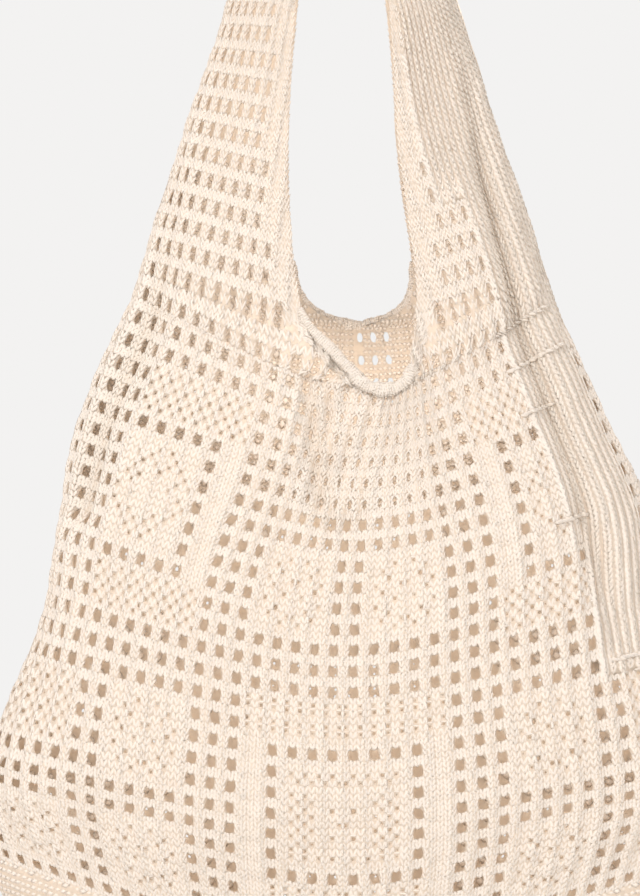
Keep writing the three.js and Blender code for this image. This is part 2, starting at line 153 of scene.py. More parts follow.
# Cells that the wales along the neck's edge take up, and the margin beyond them that stays plain
BORDER_CELLS = 1.0
BORDER_MARGIN = 0.45
# The back's cells lie this far over, and a cell of which the neck leaves less than this isn't knitted
BACK_SHIFT = -0.5
LEAST_CELL = 0.02
# How far the purl bumps stand out inside, and the welts outside
PURL_RISE = 0.15
WELT_RISE = 0.7
# Rows whose inner side can be seen
INNER_ROWS = range(19, 33)
# Above the panels' top row the courses run so close that stitches are left out
CROWDED_ROWS = 0.3

# Charted blocks: side (0 for both), first and last cell, first and last row, knitting; later ones win
CHART = [
    (0, 0, 4, 0, 2, "ribs"),
    (0, 0, 2, 4, 8, "flower"),
    (0, 4, 4, 0, 11, "plain"),
    (0, 0, 4, 10, 11, "ribs"),
    (0, 1, 4, 15, 18, "leaf"),
    (0, 0, 4, 21, 26, "thin"),
    (0, 8, 8, 15, 22, "plain"),
    (0, 8, 11, 1, 4, "leaf"),
    (0, 8, 11, 7, 10, "leaf"),
    (0, 8, 13, 14, 15, "dots"),
    (0, 10, 13, 17, 21, "diamond"),
    (0, 8, 13, 23, 24, "dots"),
    (0, 14, 17, 1, 4, "leaf"),
    (0, 14, 19, 8, 10, "dots"),
    (0, 8, 17, 25, 48, "slit"),
    (0, 14, 17, 12, 24, "slit"),
    (1, 8, 11, 25, 48, "narrow"),
    (1, 13, 15, 11, 16, "cord"),
    (1, 12, 15, 17, 24, "cord"),
    (1, 15, 15, 11, 24, "last cord"),
    (1, 12, 17, 25, 48, "cord"),
    (1, 10, 11, 32, 48, "cord"),
]
# Small pierced patterns, a mark for each third of a cell: "." knitted, "o" a pin hole, "O" a larger one
MOTIFS = {
    "dots": [
        ".o",
        "o.",
    ],
    "ribs": [
        "o.",
        "o.",
        "..",
    ],
    "flower": [
        ".........",
        ".o.o.o.o.",
        "o.o.o.o..",
        ".........",
        ".....o.o.",
        "....o.o..",
        ".O...o.o.",
        "....o.o..",
        "O....o.o.",
        "....o.o..",
        ".O...o.o.",
        "....o.o..",
        ".....o.o.",
        ".o.o.o.o.",
        ".........",
    ],
    "leaf": [
        "............",
        "....o..o....",
        "..o......o..",
        "...O....O...",
        ".o...oo...o.",
        "..O......O..",
        "....o..o....",
        ".o........o.",
        "...O....O...",
        "..o..oo..o..",
        "....o..o....",
        "............",
    ],
    "diamond": [
        "............",
        "....o.o.....",
        "...o...o.o..",
        "..o.o.o.o...",
        ".o...o...o..",
        "o.o.....o.o.",
        "...o.....o..",
        ".o.........o",
        "o...........",
        ".o.........o",
        "..o.o...o.o.",
        "...o.o.o.o..",
        "....o.o.o...",
        ".....o.o....",
        "............",
    ],
}
THIRDS = 3
PIN_SIDES = 8
FIRST_CORNER = math.radians(225)
# Half width and half height of the holes, in shares of a cell; the back's are smaller
HOLES = {
    "mesh": (0.24, 0.35), "slit": (0.2, 0.36), "narrow": (0.15, 0.3), "thin": (0.11, 0.24),
    "back": (0.09, 0.12), "window": (0.24, 0.22),
}
# How much narrower and lower than their widest they may be pulled, and how far they slant
HOLE_WIDEST = 1.05
HOLE_PULL = {"mesh": (0.25, 0.2), "slit": (0.45, 0.25), "narrow": (0.85, 0.5)}
LEAST_PULL = (0.1, 0.1)
HOLE_SLANT = 0.15
HOLE_SQUARENESS = 2.4
PIN_HOLES = {"o": 0.075, "O": 0.11}
# Least and greatest share of that size, and how far off its place a pin hole may lie
PIN_SIZES = (0.45, 1.3)
PIN_STRAY = 0.02
# The open eyelets of the back, under its neck: their middle and reach in cells, and the row below them
WINDOW = {"middle": 1, "reach": 2, "above": 21}
# Where the raised wales of a cord's cell run; the last cell also has one on its far edge
CORD_WALES = {"cord": (0, 0.5), "last cord": (0, 0.5, 1)}
# Raised cords across the right side: row, first and last cell
WELTS = [
    (27.1, 11.5, 15.6), (25.4, 11.5, 15.6), (23.4, 11.4, 13.6), (18.3, 11.3, 13.2), (11.6, 13.7, 15.6),
]

SEED = 7
rng = np.random.default_rng(SEED)


def smoothstep(value, low, high):
    share = np.clip((np.asarray(value, float) - low) / (high - low), 0, 1)
    return share * share * (3 - 2 * share)


def unit(vectors):
    return vectors / np.maximum(np.linalg.norm(vectors, axis=-1, keepdims=True), 1e-9)


class SmoothPath:
    """A smooth curve through a few points, read by its share of the length."""

    def __init__(self, points, closed=False, steps=40):
        points = np.asarray(points, float)
        if closed:
            padded = np.vstack([points[-1:], points, points[:2]])
        else:
            padded = np.vstack([2 * points[0] - points[1], points, 2 * points[-1] - points[-2]])
        t = np.linspace(0, 1, steps, endpoint=False)[:, None]
        runs = []
        for a, b, c, d in zip(padded, padded[1:], padded[2:], padded[3:]):
            bend = t * t * (a - 2.5 * b + 2 * c - 0.5 * d)
            twist = t ** 3 * (-0.5 * a + 1.5 * b - 1.5 * c + 0.5 * d)
            runs.append(b + 0.5 * t * (c - a) + bend + twist)
        runs.append(points[:1] if closed else points[-1:])
        self.points = np.vstack(runs)
        steps_long = np.linalg.norm(np.diff(self.points, axis=0), axis=1)
        length = np.concatenate([[0], np.cumsum(steps_long)])
        self.share = length / length[-1]

    def at(self, share):
        return np.stack([np.interp(share, self.share, axis) for axis in self.points.T], axis=-1)


def mirrored(half, closed):
    """A half outline and its mirror image, as one path from one side to the other."""
    back = half[1:-1] if closed else half[:-1]
    return SmoothPath(half + [(-x, z) for x, z in reversed(back)], closed)


SIDE_PATH = mirrored(SIDE_OUTLINE, False)
NECK_PATH = {face: mirrored(edge, True) for face, edge in NECK_EDGE.items()}
DEPTH_PATH = SmoothPath([(i, d) for i, d in enumerate(HALF_DEPTH)])


def neck_cut(row):
    return np.interp(row, NECK_CELLS["row"], NECK_CELLS["cells"])


def side_cells(row):
    return np.interp(row, SIDE_CELLS["row"], SIDE_CELLS["cells"])


def rib_wave(count):
    """Ridges at whole numbers and flat valleys between them, bent at the corners of the cloth's faces."""
    return np.interp(count % 1, [0, 1 / THIRDS, 2 / THIRDS, 1], [1, 1 - RIB_FALL, 1 - RIB_FALL, 1])


def unevenness(cell, row, outward):
    """How far the slow and quick waves of the soft fabric stand out."""
    slow = np.sin(0.9 * cell + 0.5 * outward + 0.7 * np.sin(0.6 * row)) * np.sin(0.63 * row + 0.3 * cell)
    quick = np.sin(2.3 * cell - 1.1 * row) * np.sin(1.7 * row + 0.4 * cell)
    return (SLOW_WAVE * slow + QUICK_WAVE * quick) * smoothstep(row, *WAVE_ROWS)


def spread(cell, row):
    """How far across its row a cell lies, with the cells under the neckline drawn together."""
    even_share = cell / GATHER["cells"][-1]
    drawn = np.interp(cell, GATHER["cells"], GATHER["share"])
    return even_share + (drawn - even_share) * smoothstep(row, *GATHER_ROWS)


def cell_share(face, cell, row):
    """Share of a row, from the centre line or the neck's edge to the side, at a cell."""
    first, last = neck_cut(row), side_cells(row)
    if face == "front":
        first, cell, last = (spread(place, row) for place in (first, cell, last))
    return (cell - first) / (last - first)


def sideways_pull(outward, side, z, share):
    """How far the fabric is drawn to the right, in its middle, at its sides and under the front's roll."""
    off = np.clip((z - SWAY["height"]) / SWAY["span"], -1, 1)
    middle = SWAY["most"] * np.cos(math.pi / 2 * off) ** 2
    at_side = LEAN["most"] * smoothstep(-z, -LEAN["top"], -LEAN["full"])
    left, right = (np.interp(z, NECK_PULL["height"], NECK_PULL[half]) for half in ("left", "right"))
    under_roll = np.where(side < 0, left, right) * np.maximum(1 - share / NECK_REACH, 0) ** 2
    return middle * (1 - share * share) + at_side * share + under_roll * (outward > 0)


class Fabric:
    """One face of the bag: points of the fabric by side, cell and row."""

    ROW_STEP = 0.125
    SHARES = np.linspace(0, 1, 121)
    BOW_STEPS = 161
    NEAR = 0.08

    def __init__(self, face):
        self.face = face
        self.outward = 1 if face == "front" else -1
        self.rows = np.arange(-BASE_ROWS, ALL_ROWS + self.ROW_STEP / 2, self.ROW_STEP)
        self.points = np.stack([self.course(row) for row in self.rows])
        self.normals = self.directions()

    def inner_end(self, row):
        neck = NECK_PATH[self.face]
        if row >= PANEL_ROWS:
            x, z = neck.at(0.5 * np.interp(row, NECK_ROWS["row"], NECK_ROWS["share"]))
            return max(x, 0), z
        under = math.sin(self.under_turn(row))
        rise = NECK_EDGE[self.face][0][1] - PANEL_BOTTOM
        return 0, PANEL_BOTTOM - BASE_DROP * under + rise * max(row, 0) / PANEL_ROWS

    def outer_end(self, row):
        x, z = SIDE_PATH.at(0.5 * np.interp(row, SIDE_ROWS["row"], SIDE_ROWS["share"]))
        turn = self.under_turn(row)
        return x - CORNER_INWARD * (1 - math.cos(turn)), z - CORNER_DROP * math.sin(turn)

    @staticmethod
    def under_turn(row):
        return min(max(-row / BASE_ROWS, 0), 1) * math.pi / 2

    def half_depth(self, row):
        height = (self.inner_end(row)[1] - PANEL_BOTTOM) / (DEPTH_TOP - PANEL_BOTTOM)
        place = min(max(height, 0), 1) * (len(HALF_DEPTH) - 1)
        curve = DEPTH_PATH.points
        return np.interp(place, curve[:, 0], curve[:, 1]) * math.cos(self.under_turn(row))

    def course(self, row):
        """Evenly spaced points from the centre line or the neck's edge to the side."""
        inner_x, inner_z = self.inner_end(row)
        outer_x, outer_z = self.outer_end(row)
        turn = np.linspace(0, math.pi / 2, self.BOW_STEPS)
        across = np.sin(turn) ** (2 / SQUARENESS)
        out = np.maximum(np.cos(turn), 0) ** (2 / SQUARENESS)
        soft = SAG_ROUND * (1 - float(smoothstep(row, *SAG_ROWS))) + SAG_LEAST
        sag = (np.hypot(across, soft) - soft) / (math.hypot(1, soft) - soft)
        line = np.stack([
            inner_x + (outer_x - inner_x) * across,
            -self.outward * self.half_depth(row) * out,
            inner_z + (outer_z - inner_z) * sag,
        ], axis=-1)
        length = np.concatenate([[0], np.cumsum(np.linalg.norm(np.diff(line, axis=0), axis=1))])
        return np.stack([np.interp(self.SHARES * length[-1], length, axis) for axis in line.T], axis=-1)

    def directions(self):
        """Outward directions; on the strap, courses lie square to the way the strap runs."""
        across = np.gradient(self.points, axis=1)
        up = np.gradient(self.points, axis=0)
        course = self.points[:, -1] - self.points[:, 0]
        square = np.stack([-course[:, 2], 0 * course[:, 0], course[:, 0]], axis=-1)
        side_way = unit(np.gradient(self.points[:, -1], axis=0))
        near_side = smoothstep(self.SHARES, *SIDE_SHARES)[None, :, None]
        along = unit(square)[:, None] * (1 - near_side) + side_way[:, None] * near_side
        strap = unit(np.cross(across, along)) * self.outward
        panel = unit(np.cross(across, up)) * self.outward
        mix = smoothstep(self.rows, *LIE_ROWS)[:, None, None]
        return unit(panel * (1 - mix) + strap * mix)

    def read(self, table, share, row):
        """A value of a table of points or directions, between its rows and shares."""
        r = np.clip((row - self.rows[0]) / self.ROW_STEP, 0, len(self.rows) - 1.001)
        s = np.clip(share, 0, 1) * (len(self.SHARES) - 1.001)
        r0, s0 = r.astype(int), s.astype(int)
        fr, fs = (r - r0)[..., None], (s - s0)[..., None]
        low = table[r0, s0] * (1 - fs) + table[r0, s0 + 1] * fs
        high = table[r0 + 1, s0] * (1 - fs) + table[r0 + 1, s0 + 1] * fs
        return low * (1 - fr) + high * fr

    def folds(self, side, cell, row):
        """How deep the soft troughs are here."""
        depth_here = np.zeros(np.broadcast(side, cell, row).shape)
        if self.face == "back":
            return depth_here
        for start, end, width, depth, deepening in FOLDS:
            along = np.subtract(end, start)
            from_cell, from_row = side * cell - start[0], row - start[1]
            t = np.clip((from_cell * along[0] + from_row * along[1]) / (along @ along), 0, 1)
            off = np.hypot(from_cell - t * along[0], from_row - t * along[1]) / width
            grown = smoothstep(t, 0, deepening) if deepening else 1
            depth_here = np.maximum(depth_here, depth * grown * np.exp(-off * off))
        return depth_here

    def ribs(self, side, cell, row):
        """How far the ribs between the eyelet columns stand out."""
        strap = smoothstep(row, *STRAP_RIB_ROWS)
        cords = np.zeros(np.broadcast(side, cell, row).shape)
        for first, last, low, high in CORDS:
            here = (side > 0) & (cell >= first) & (cell <= last)
            risen = smoothstep(row, low, low + CORD_RISE) * (1 - smoothstep(row, high - CORD_RISE, high))
            cords = np.maximum(cords, here * risen)
        gather = (1 - smoothstep(cell, *GATHER_RIB_CELLS)) * smoothstep(row, *GATHER_RIB_ROWS)
        height = PANEL_RIB + (GATHER_RIB - PANEL_RIB) * gather
        height = height + strap * (STRAP_RIB - height)
        relief = height * (1 - cords) * rib_wave(cell) + CORD_RIB * cords * rib_wave(2 * cell)
        ease = (1 - smoothstep(row, *TOP_EASE)) * smoothstep(row, *BASE_EASE)
        face = 1 if self.outward > 0 else BACK_RIB
        relief = relief + COURSE_RIB * (1 - cords) * rib_wave(row)
        return face * relief * ease

    def at(self, side, cell, row, lift=0.0):
        """Points of the fabric, raised by a lift; a cell below 0 lies past the centre line."""
        side, cell, row = np.broadcast_arrays(np.asarray(side, float), cell, row)
        crossed = (cell < 0) & (row <= PANEL_ROWS)
        side = np.where(crossed, -side, side)
        cell = np.where(crossed, -cell, cell)
        cell = np.clip(cell, neck_cut(row), side_cells(row))
        share = cell_share(self.face, cell, row)
        point = self.read(self.points, share, row)
        normal = unit(self.read(self.normals, share, row))
        height = self.ribs(side, cell, row) - self.folds(side, cell, row) + lift
        height = height + unevenness(side * cell, row, self.outward)
        point = point + normal * height[..., None]
        x = side * point[..., 0] + sideways_pull(self.outward, side, point[..., 2], share)
        return np.stack([x, point[..., 1], point[..., 2]], axis=-1)

    def frames(self, side, cell, row, lift, from_edge=False):
        """Places for stitches: point, across, up and outward directions, and the size of a cell there."""
        def place(dc, dr):
            r = row + dr
            c = cell + dc + (neck_cut(r) if from_edge else 0)
            return self.at(side, c, r, lift)
        across = (place(self.NEAR, 0) - place(-self.NEAR, 0)) / (2 * self.NEAR)
        up = (place(0, self.NEAR) - place(0, -self.NEAR)) / (2 * self.NEAR)
        wide = np.linalg.norm(across, axis=-1)
        tall = np.linalg.norm(up, axis=-1)
        way = (np.asarray(side, float) * self.outward)[:, None]
        y = unit(up)
        x = unit(across * way - y * np.sum(across * way * y, axis=-1, keepdims=True))
        return place(0, 0), x, y, np.cross(x, y), wide, tall


FABRIC = {face: Fabric(face) for face in ("front", "back")}


def marks(name, across, up):
    """The nine marks of a cell of a pierced pattern, row by row from its lower inner corner."""
    chart = MOTIFS[name]
    rows = [chart[-1 - (THIRDS * up + j) % len(chart)] for j in range(THIRDS)]
    return "".join(row[(THIRDS * across + i) % len(row)] for row in rows for i in range(THIRDS))


def chart_kind(side, cell, row):
    """What the chart has in a cell: the name of its knitting, or the marks of a pierced pattern."""
    kind = "mesh"
    for only, first, last, low, high, name in CHART:
        if only in (0, side) and first <= cell <= last and low <= row <= high:
            kind = marks(name, cell - first, row - low) if name in MOTIFS else name
    return kind


def cell_kind(face, side, cell, row):
    """What is knitted in a cell: the chart's choice, or plain along the neck's edge and the side seam."""
    kind = chart_kind(side, max(math.floor(cell + 0.5), 0), row)
    near_neck = row >= PANEL_ROWS and cell + 0.5 < neck_cut(row + 0.5) + BORDER_CELLS + BORDER_MARGIN
    near_side = cell + 1 > side_cells(row + 1)
    if near_neck or near_side:
        return "plain"
    if face == "back" and kind == "thin":
        off_middle = abs(side * (cell + 0.5) - WINDOW["middle"])
        return "window" if off_middle < WINDOW["reach"] and row > WINDOW["above"] else "plain"
    return "back" if face == "back" and kind in HOLES else kind


def cells_in(rows, face, sides=(-1, 1)):
    """Each cell of the fabric in these rows, with what is knitted there."""
    shift = 0.0 if face == "front" else BACK_SHIFT
    found = []
    for row in rows:
        for side in sides:
            for cell in shift + np.arange(math.ceil(side_cells(row) - shift)):
                middle = cell < 0
                if cell + 1 <= neck_cut(row) + LEAST_CELL or (middle and side < 0 and len(sides) > 1):
                    continue
                found.append((face, side, cell, row, cell_kind(face, side, cell, row)))
    return found


# The open cloth under the stitches

def ring_points():
    """Twelve points round a cell, from its lower left corner."""
    third = [0, 1 / 3, 2 / 3]
    ring = [(t, 0) for t in third] + [(1, t) for t in third]
    return np.array(ring + [(1 - t, 1) for t in third] + [(0, 1 - t) for t in third])


RING = ring_points()


def hole_points(kind):
    """The outline of an eyelet, rounded, with a point for each point of the ring."""
    half = np.array(HOLES[kind])
    turn = np.arctan2(RING[:, 1] - 0.5, RING[:, 0] - 0.5)
    way = np.stack([np.cos(turn), np.sin(turn)], axis=-1)
    reach = np.sum(np.abs(way) ** HOLE_SQUARENESS, axis=-1, keepdims=True) ** (-1 / HOLE_SQUARENESS)
    return 0.5 + half * way * reach


def grid_points(columns):
    return [(u, v) for v in np.linspace(0, 1, THIRDS + 1) for u in np.linspace(0, 1, columns + 1)]


def is_pierced(kind):
    """Whether a cell's knitting is given by marks."""
    return set(kind) <= set(".oO")


@functools.cache
def patch(kind):
    """Points and faces of one cell of the cloth, in shares of the cell."""
    if kind in HOLES:
        points = np.vstack([RING, hole_points(kind)])
        count = len(RING)
        faces = [(i, (i + 1) % count, count + (i + 1) % count, count + i) for i in range(count)]
        return points, faces
    columns = 2 * THIRDS if kind in CORD_WALES else THIRDS
    points, faces = grid_points(columns), []
    for j in range(THIRDS):
        for i in range(columns):
            corner = (columns + 1) * j + i
            square = (corner, corner + 1, corner + columns + 2, corner + columns + 1)
            half = PIN_HOLES.get(kind[THIRDS * j + i]) if is_pierced(kind) else None
            if half is None:
                faces.append(square)
                continue
            first = len(points)
            middle = ((i + 0.5) / THIRDS, (j + 0.5) / THIRDS)
            for turn in FIRST_CORNER + np.arange(PIN_SIDES) * 2 * math.pi / PIN_SIDES:
                points.append((middle[0] + half * math.cos(turn), middle[1] + half * math.sin(turn)))
            for k in range(len(square)):
                inner = [first + (2 * k + step) % PIN_SIDES for step in (2, 1, 0)]
                faces.append((square[k], square[(k + 1) % len(square)], *inner))
    return np.array(points), faces


def mesh_object(name, points, faces, rows=None):
    """A new object from points in millimetres, which may keep their rows."""
    mesh = bpy.data.meshes.new(name)
    mesh.from_pydata((np.asarray(points) * MM).tolist(), [], faces)
    if rows is not None:
        mesh.attributes.new("row", "FLOAT", "POINT").data.foreach_set("value", rows)
    piece = bpy.data.objects.new(name, mesh)
    bpy.context.collection.objects.link(piece)
    return piece


# Shortest edge that is kept, in millimetres, and smallest face, in square metres
SHORTEST_EDGE = 0.02
SMALLEST_FACE = 1e-9


def clean(piece):
    """Joins shared corners, drops faces with no area and shades the rest smoothly."""
    work = bmesh.new()
    work.from_mesh(piece.data)
    bmesh.ops.remove_doubles(work, verts=work.verts, dist=SHORTEST_EDGE * MM)
    bmesh.ops.dissolve_degenerate(work, edges=work.edges, dist=SHORTEST_EDGE * MM)
    flat = [face for face in work.faces if face.calc_area() < SMALLEST_FACE]
    bmesh.ops.delete(work, geom=flat, context="FACES")
    loose = [vert for vert in work.verts if not vert.link_faces]
    bmesh.ops.delete(work, geom=loose, context="VERTS")
    for face in work.faces:
        face.smooth = True
    work.to_mesh(piece.data)
    work.free()


def thicken(piece, material):
    """Gives a cloth its thickness and its finish; its shading runs on level across the seams."""
    solid = piece.modifiers.new("Thickness", "SOLIDIFY")
    solid.thickness = CLOTH_THICKNESS * MM
    solid.offset = -1
    solid.use_rim = True
    apply_modifiers(piece)
    work = bmesh.new()
    work.from_mesh(piece.data)
    row = work.verts.layers.float["row"]
    for edge in work.edges:
        ends = [vert[row] for vert in edge.verts]
        edge.smooth = not any(np.allclose(ends, seam, atol=1e-3) for seam in SEAM_ROWS)
    work.verts.layers.float.remove(row)
    work.to_mesh(piece.data)
    work.free()
    piece.data.materials.clear()
    piece.data.materials.append(material)


def apply_modifiers(piece):
    """Turns a piece with its modifiers into a plain mesh."""
    evaluated = piece.evaluated_get(bpy.context.evaluated_depsgraph_get())
    made = bpy.data.meshes.new_from_object(evaluated)
    piece.modifiers.clear()
    old = piece.data
    piece.data = made
    made.name = piece.name
    bpy.data.meshes.remove(old)


def uneven_hole(local, kind):
    """No two eyelets are pulled quite alike."""
    local = local.copy()
    off = local[len(RING):] - 0.5
    wide, tall = HOLE_WIDEST - np.array(HOLE_PULL.get(kind, LEAST_PULL)) * rng.random(2)
    slant = rng.normal(0, HOLE_SLANT)
    local[len(RING):] = 0.5 + np.stack([off[:, 0] * wide + off[:, 1] * slant, off[:, 1] * tall], axis=-1)
    return local


def slump(local):
    """How far a slim eyelet's edge falls in below the flat valley between two ribs."""
    past_rib = np.maximum(0.5 - np.abs(local[:, 0] - 0.5) - 1 / THIRDS, 0)
    past_rib[:len(RING)] = 0
    return PANEL_RIB * past_rib * RIB_FALL * THIRDS


def uneven_pins(local):
    """Pin holes differ a little in size and place."""
    first = (THIRDS + 1) ** 2
    holes = local[first:].reshape(-1, PIN_SIDES, 2)
    middles = holes.mean(axis=1, keepdims=True)
    size = rng.uniform(*PIN_SIZES, (len(holes), 1, 1))
    moved = middles + rng.uniform(-PIN_STRAY, PIN_STRAY, (len(holes), 1, 2)) + (holes - middles) * size
    return np.vstack([local[:first], moved.reshape(-1, 2)])


def cloth(name, cells, material):
    """The pierced cloth of these cells, with its thickness."""
    points, rows, faces, start = [], [], [], 0
    for face, side, cell, row, kind in cells:
        local, quads = patch(kind)
        if kind in HOLES:
            local = uneven_hole(local, kind)
        elif "o" in kind.lower() and is_pierced(kind):
            local = uneven_pins(local)
        fabric = FABRIC[face]
        rows.append(row + local[:, 1])
        lift = CLOTH_LIFT - (slump(local) if kind in HOLES and face == "front" else 0)
        points.append(fabric.at(side, cell + local[:, 0], rows[-1], lift))
        flip = side * fabric.outward < 0
        faces += [tuple(start + i for i in (reversed(q) if flip else q)) for q in quads]
        start += len(local)
    piece = mesh_object(name, np.vstack(points), faces, np.concatenate(rows))
    clean(piece)
    thicken(piece, material)
    return piece


# Stitches: each leg is placed in its cell as u, v, lean in degrees, width and length in wales and courses

# A plain stitch's legs: lean, distance from its middle, width and length
LEG_LEAN = 21
LEG_OFF = 0.24
LEG_WIDE = 0.72
LEG_LONG = 1.65
LYING = 90
# Round an eyelet: heights of the courses below and above it and of the stitches beside it, how much of the
# room there they fill, and the legs at its corners: place, lean, width and length
OUTER_COURSES = (0.09, 0.91)
INNER_COURSES = (0.37, 0.63)
BESIDE_FILL = 0.9
CORNER_PLACE = 0.95
CORNER_LEG = (42, 0.5, 1.15)
# Beside and above a pin hole: lean, width and length of the slim legs
PIN_SIDE_LEG = (6, 0.5, 1.5)
PIN_TOP_LEG = (LYING, 0.4, 0.8)
PIERCED_TALL = 1.2
# Width and length of a cord's stitches against plain ones
CORD_WIDE, CORD_TALL = 1.3, 1.2
# The neck's edge: width of its wales, where the neck's low curve starts above the panel and ends, and rows
# between stitches in that curve and above it
BORDER_WIDE = 0.85
CURVE_START = 0.05
CURVE_TOP = 28.5
CURVE_STEP, BORDER_STEP = 0.07, 0.25
# Lying loops: lean, width and length of a welt's, of a strand behind an eyelet and of a purl bump, cells
# from one loop of a welt to the next, and how far clear of an eyelet a bump stays
WELT_LEG = (80, 0.6, 1.3)
STRAND_LEG = (LYING, 1.4, 1.3)
PURL_LEG = (LYING, 0.62, 0.85)
WELT_STEP = 0.2
PURL_CLEAR = 0.01


def knit_stitch(u, v, wide=1.0, tall=1.0):
    """The two legs of a plain stitch, side by side in a V."""
    off = LEG_OFF * wide / WALES
    return [(u + hand * off, v, -hand * LEG_LEAN, LEG_WIDE * wide, LEG_LONG * tall) for hand in (-1, 1)]


def even(count):
    """The middles of so many equal steps from 0 to 1."""
    return [(i + 0.5) / count for i in range(count)]


def eyelet_plan(hole):
    """Stitches round an eyelet: a course below and above, wales beside it, and legs round its corners."""
    half_wide, half_tall = HOLES[hole]
    legs = []
    for v in OUTER_COURSES:
        for u in even(WALES):
            legs += knit_stitch(u, v)
    beside = (0.5 - half_wide) / 2
    for v in INNER_COURSES:
        for u in (beside, 1 - beside):
            legs += knit_stitch(u, v, wide=2 * beside * WALES * BESIDE_FILL)
    lean, width, length = CORNER_LEG
    for right in (-1, 1):
        for top in (-1, 1):
            place = (0.5 + right * CORNER_PLACE * half_wide, 0.5 + top * CORNER_PLACE * half_tall)
            legs.append((*place, lean * right * top, width, length))
    return legs


def pierced_plan(kind):
    """A stitch in every third of the cell, and a slim leg on either side of each pin hole."""
    legs = []
    off = 0.5 / THIRDS
    lean, width, length = PIN_SIDE_LEG
    for place, mark in enumerate(kind):
        u, v = (place % THIRDS + 0.5) / THIRDS, (place // THIRDS + 0.5) / THIRDS
        if mark == ".":
            legs += knit_stitch(u, v, tall=PIERCED_TALL)
        else:
            legs += [(u + hand * off, v, -hand * lean, width, length) for hand in (-1, 1)]
            legs.append((u, v + off, *PIN_TOP_LEG))
    return legs


def cord_plan(kind):
    """Raised wales, drawn close together, every other one half a course higher."""
    legs = []
    for u in CORD_WALES[kind]:
        for v in even(COURSES):
            legs += knit_stitch(u, v + u % 1 / COURSES, CORD_WIDE, CORD_TALL)
    return legs


def plain_plan():
    """A plain stitch on every wale and course."""
    return [leg for u in even(WALES) for v in even(COURSES) for leg in knit_stitch(u, v)]


@functools.cache
def plan(kind):
    """The legs of the stitches in a cell."""
    if kind in HOLES:
        return eyelet_plan(kind)
    if kind in CORD_WALES:
        return cord_plan(kind)
    return plain_plan() if kind == "plain" else pierced_plan(kind)


def legs_on(cells):
    """Every leg of the stitches in these cells: side, cell, row, lean, width and length."""
    legs = []
    for _, side, cell, row, kind in cells:
        for u, v, lean, width, length in plan(kind):
            inside = cell + u < neck_cut(row + v) + BORDER_CELLS and row >= PANEL_ROWS
            beyond = cell + u > side_cells(row + v)
            crowded = cell < CORDS[0][0] - 1 and 0 < row + v - PANEL_ROWS < CROWDED_ROWS
            if not inside and not beyond and not crowded:
                legs.append((side, cell + u, row + v, lean, width, length))
    return np.array(legs)


def border_legs(side):
    """Four narrow wales that follow the neck's edge."""
    legs = []
    in_curve = np.arange(PANEL_ROWS + CURVE_START, CURVE_TOP, CURVE_STEP)
    for row in np.concatenate([in_curve, np.arange(CURVE_TOP, ALL_ROWS, BORDER_STEP)]):
        for u in even(WALES + 1):
            for place, _, lean, width, length in knit_stitch(u, 0, wide=BORDER_WIDE):
                legs.append((side, place * BORDER_CELLS, row, lean, width, length))
    return np.array(legs)


def welt_legs():
    """Overlapping loops along each raised cord."""
    legs = []
    for row, first, last in WELTS:
        for cell in np.arange(first, last, WELT_STEP):
            legs.append((1, cell, row, *WELT_LEG))
    return np.array(legs)


def purl_legs(cells):
    """The bumps on the inner side of the fabric, clear of its eyelets, and a strand behind small ones."""
    legs = []
    for _, side, cell, row, kind in cells:
        if kind == "back":
            legs.append((side, cell + 0.5, row + 0.5, *STRAND_LEG))
        if row not in INNER_ROWS:
            continue
        half_wide, half_tall = HOLES.get(kind, (0, 0))
        for u in even(WALES):
            for v in even(COURSES):
                off_wide = (u - 0.5) / (half_wide + PURL_CLEAR)
                off_tall = (v - 0.5) / (half_tall + PURL_CLEAR)
                if np.hypot(off_wide, off_tall) > 1 and cell + u > neck_cut(row + v):
                    legs.append((side, cell + u, row + v, *PURL_LEG))
    return np.array(legs)


def quaternions(x, y, z):
    """Turns whose axes are the given directions, as w, x, y, z."""
    trace = [1 + x[:, 0] + y[:, 1] + z[:, 2], 1 + x[:, 0] - y[:, 1] - z[:, 2],
             1 - x[:, 0] + y[:, 1] - z[:, 2], 1 - x[:, 0] - y[:, 1] + z[:, 2]]
    a, b, c = y[:, 2] - z[:, 1], z[:, 0] - x[:, 2], x[:, 1] - y[:, 0]
    d, e, f = x[:, 1] + y[:, 0], z[:, 0] + x[:, 2], y[:, 2] + z[:, 1]
    options = np.stack([
        np.stack([trace[0], a, b, c], axis=-1), np.stack([a, trace[1], d, e], axis=-1),
        np.stack([b, d, trace[2], f], axis=-1), np.stack([c, e, f, trace[3]], axis=-1),
    ])
    best = np.argmax(np.stack(trace), axis=0)
    return unit(options[best, np.arange(len(x))])


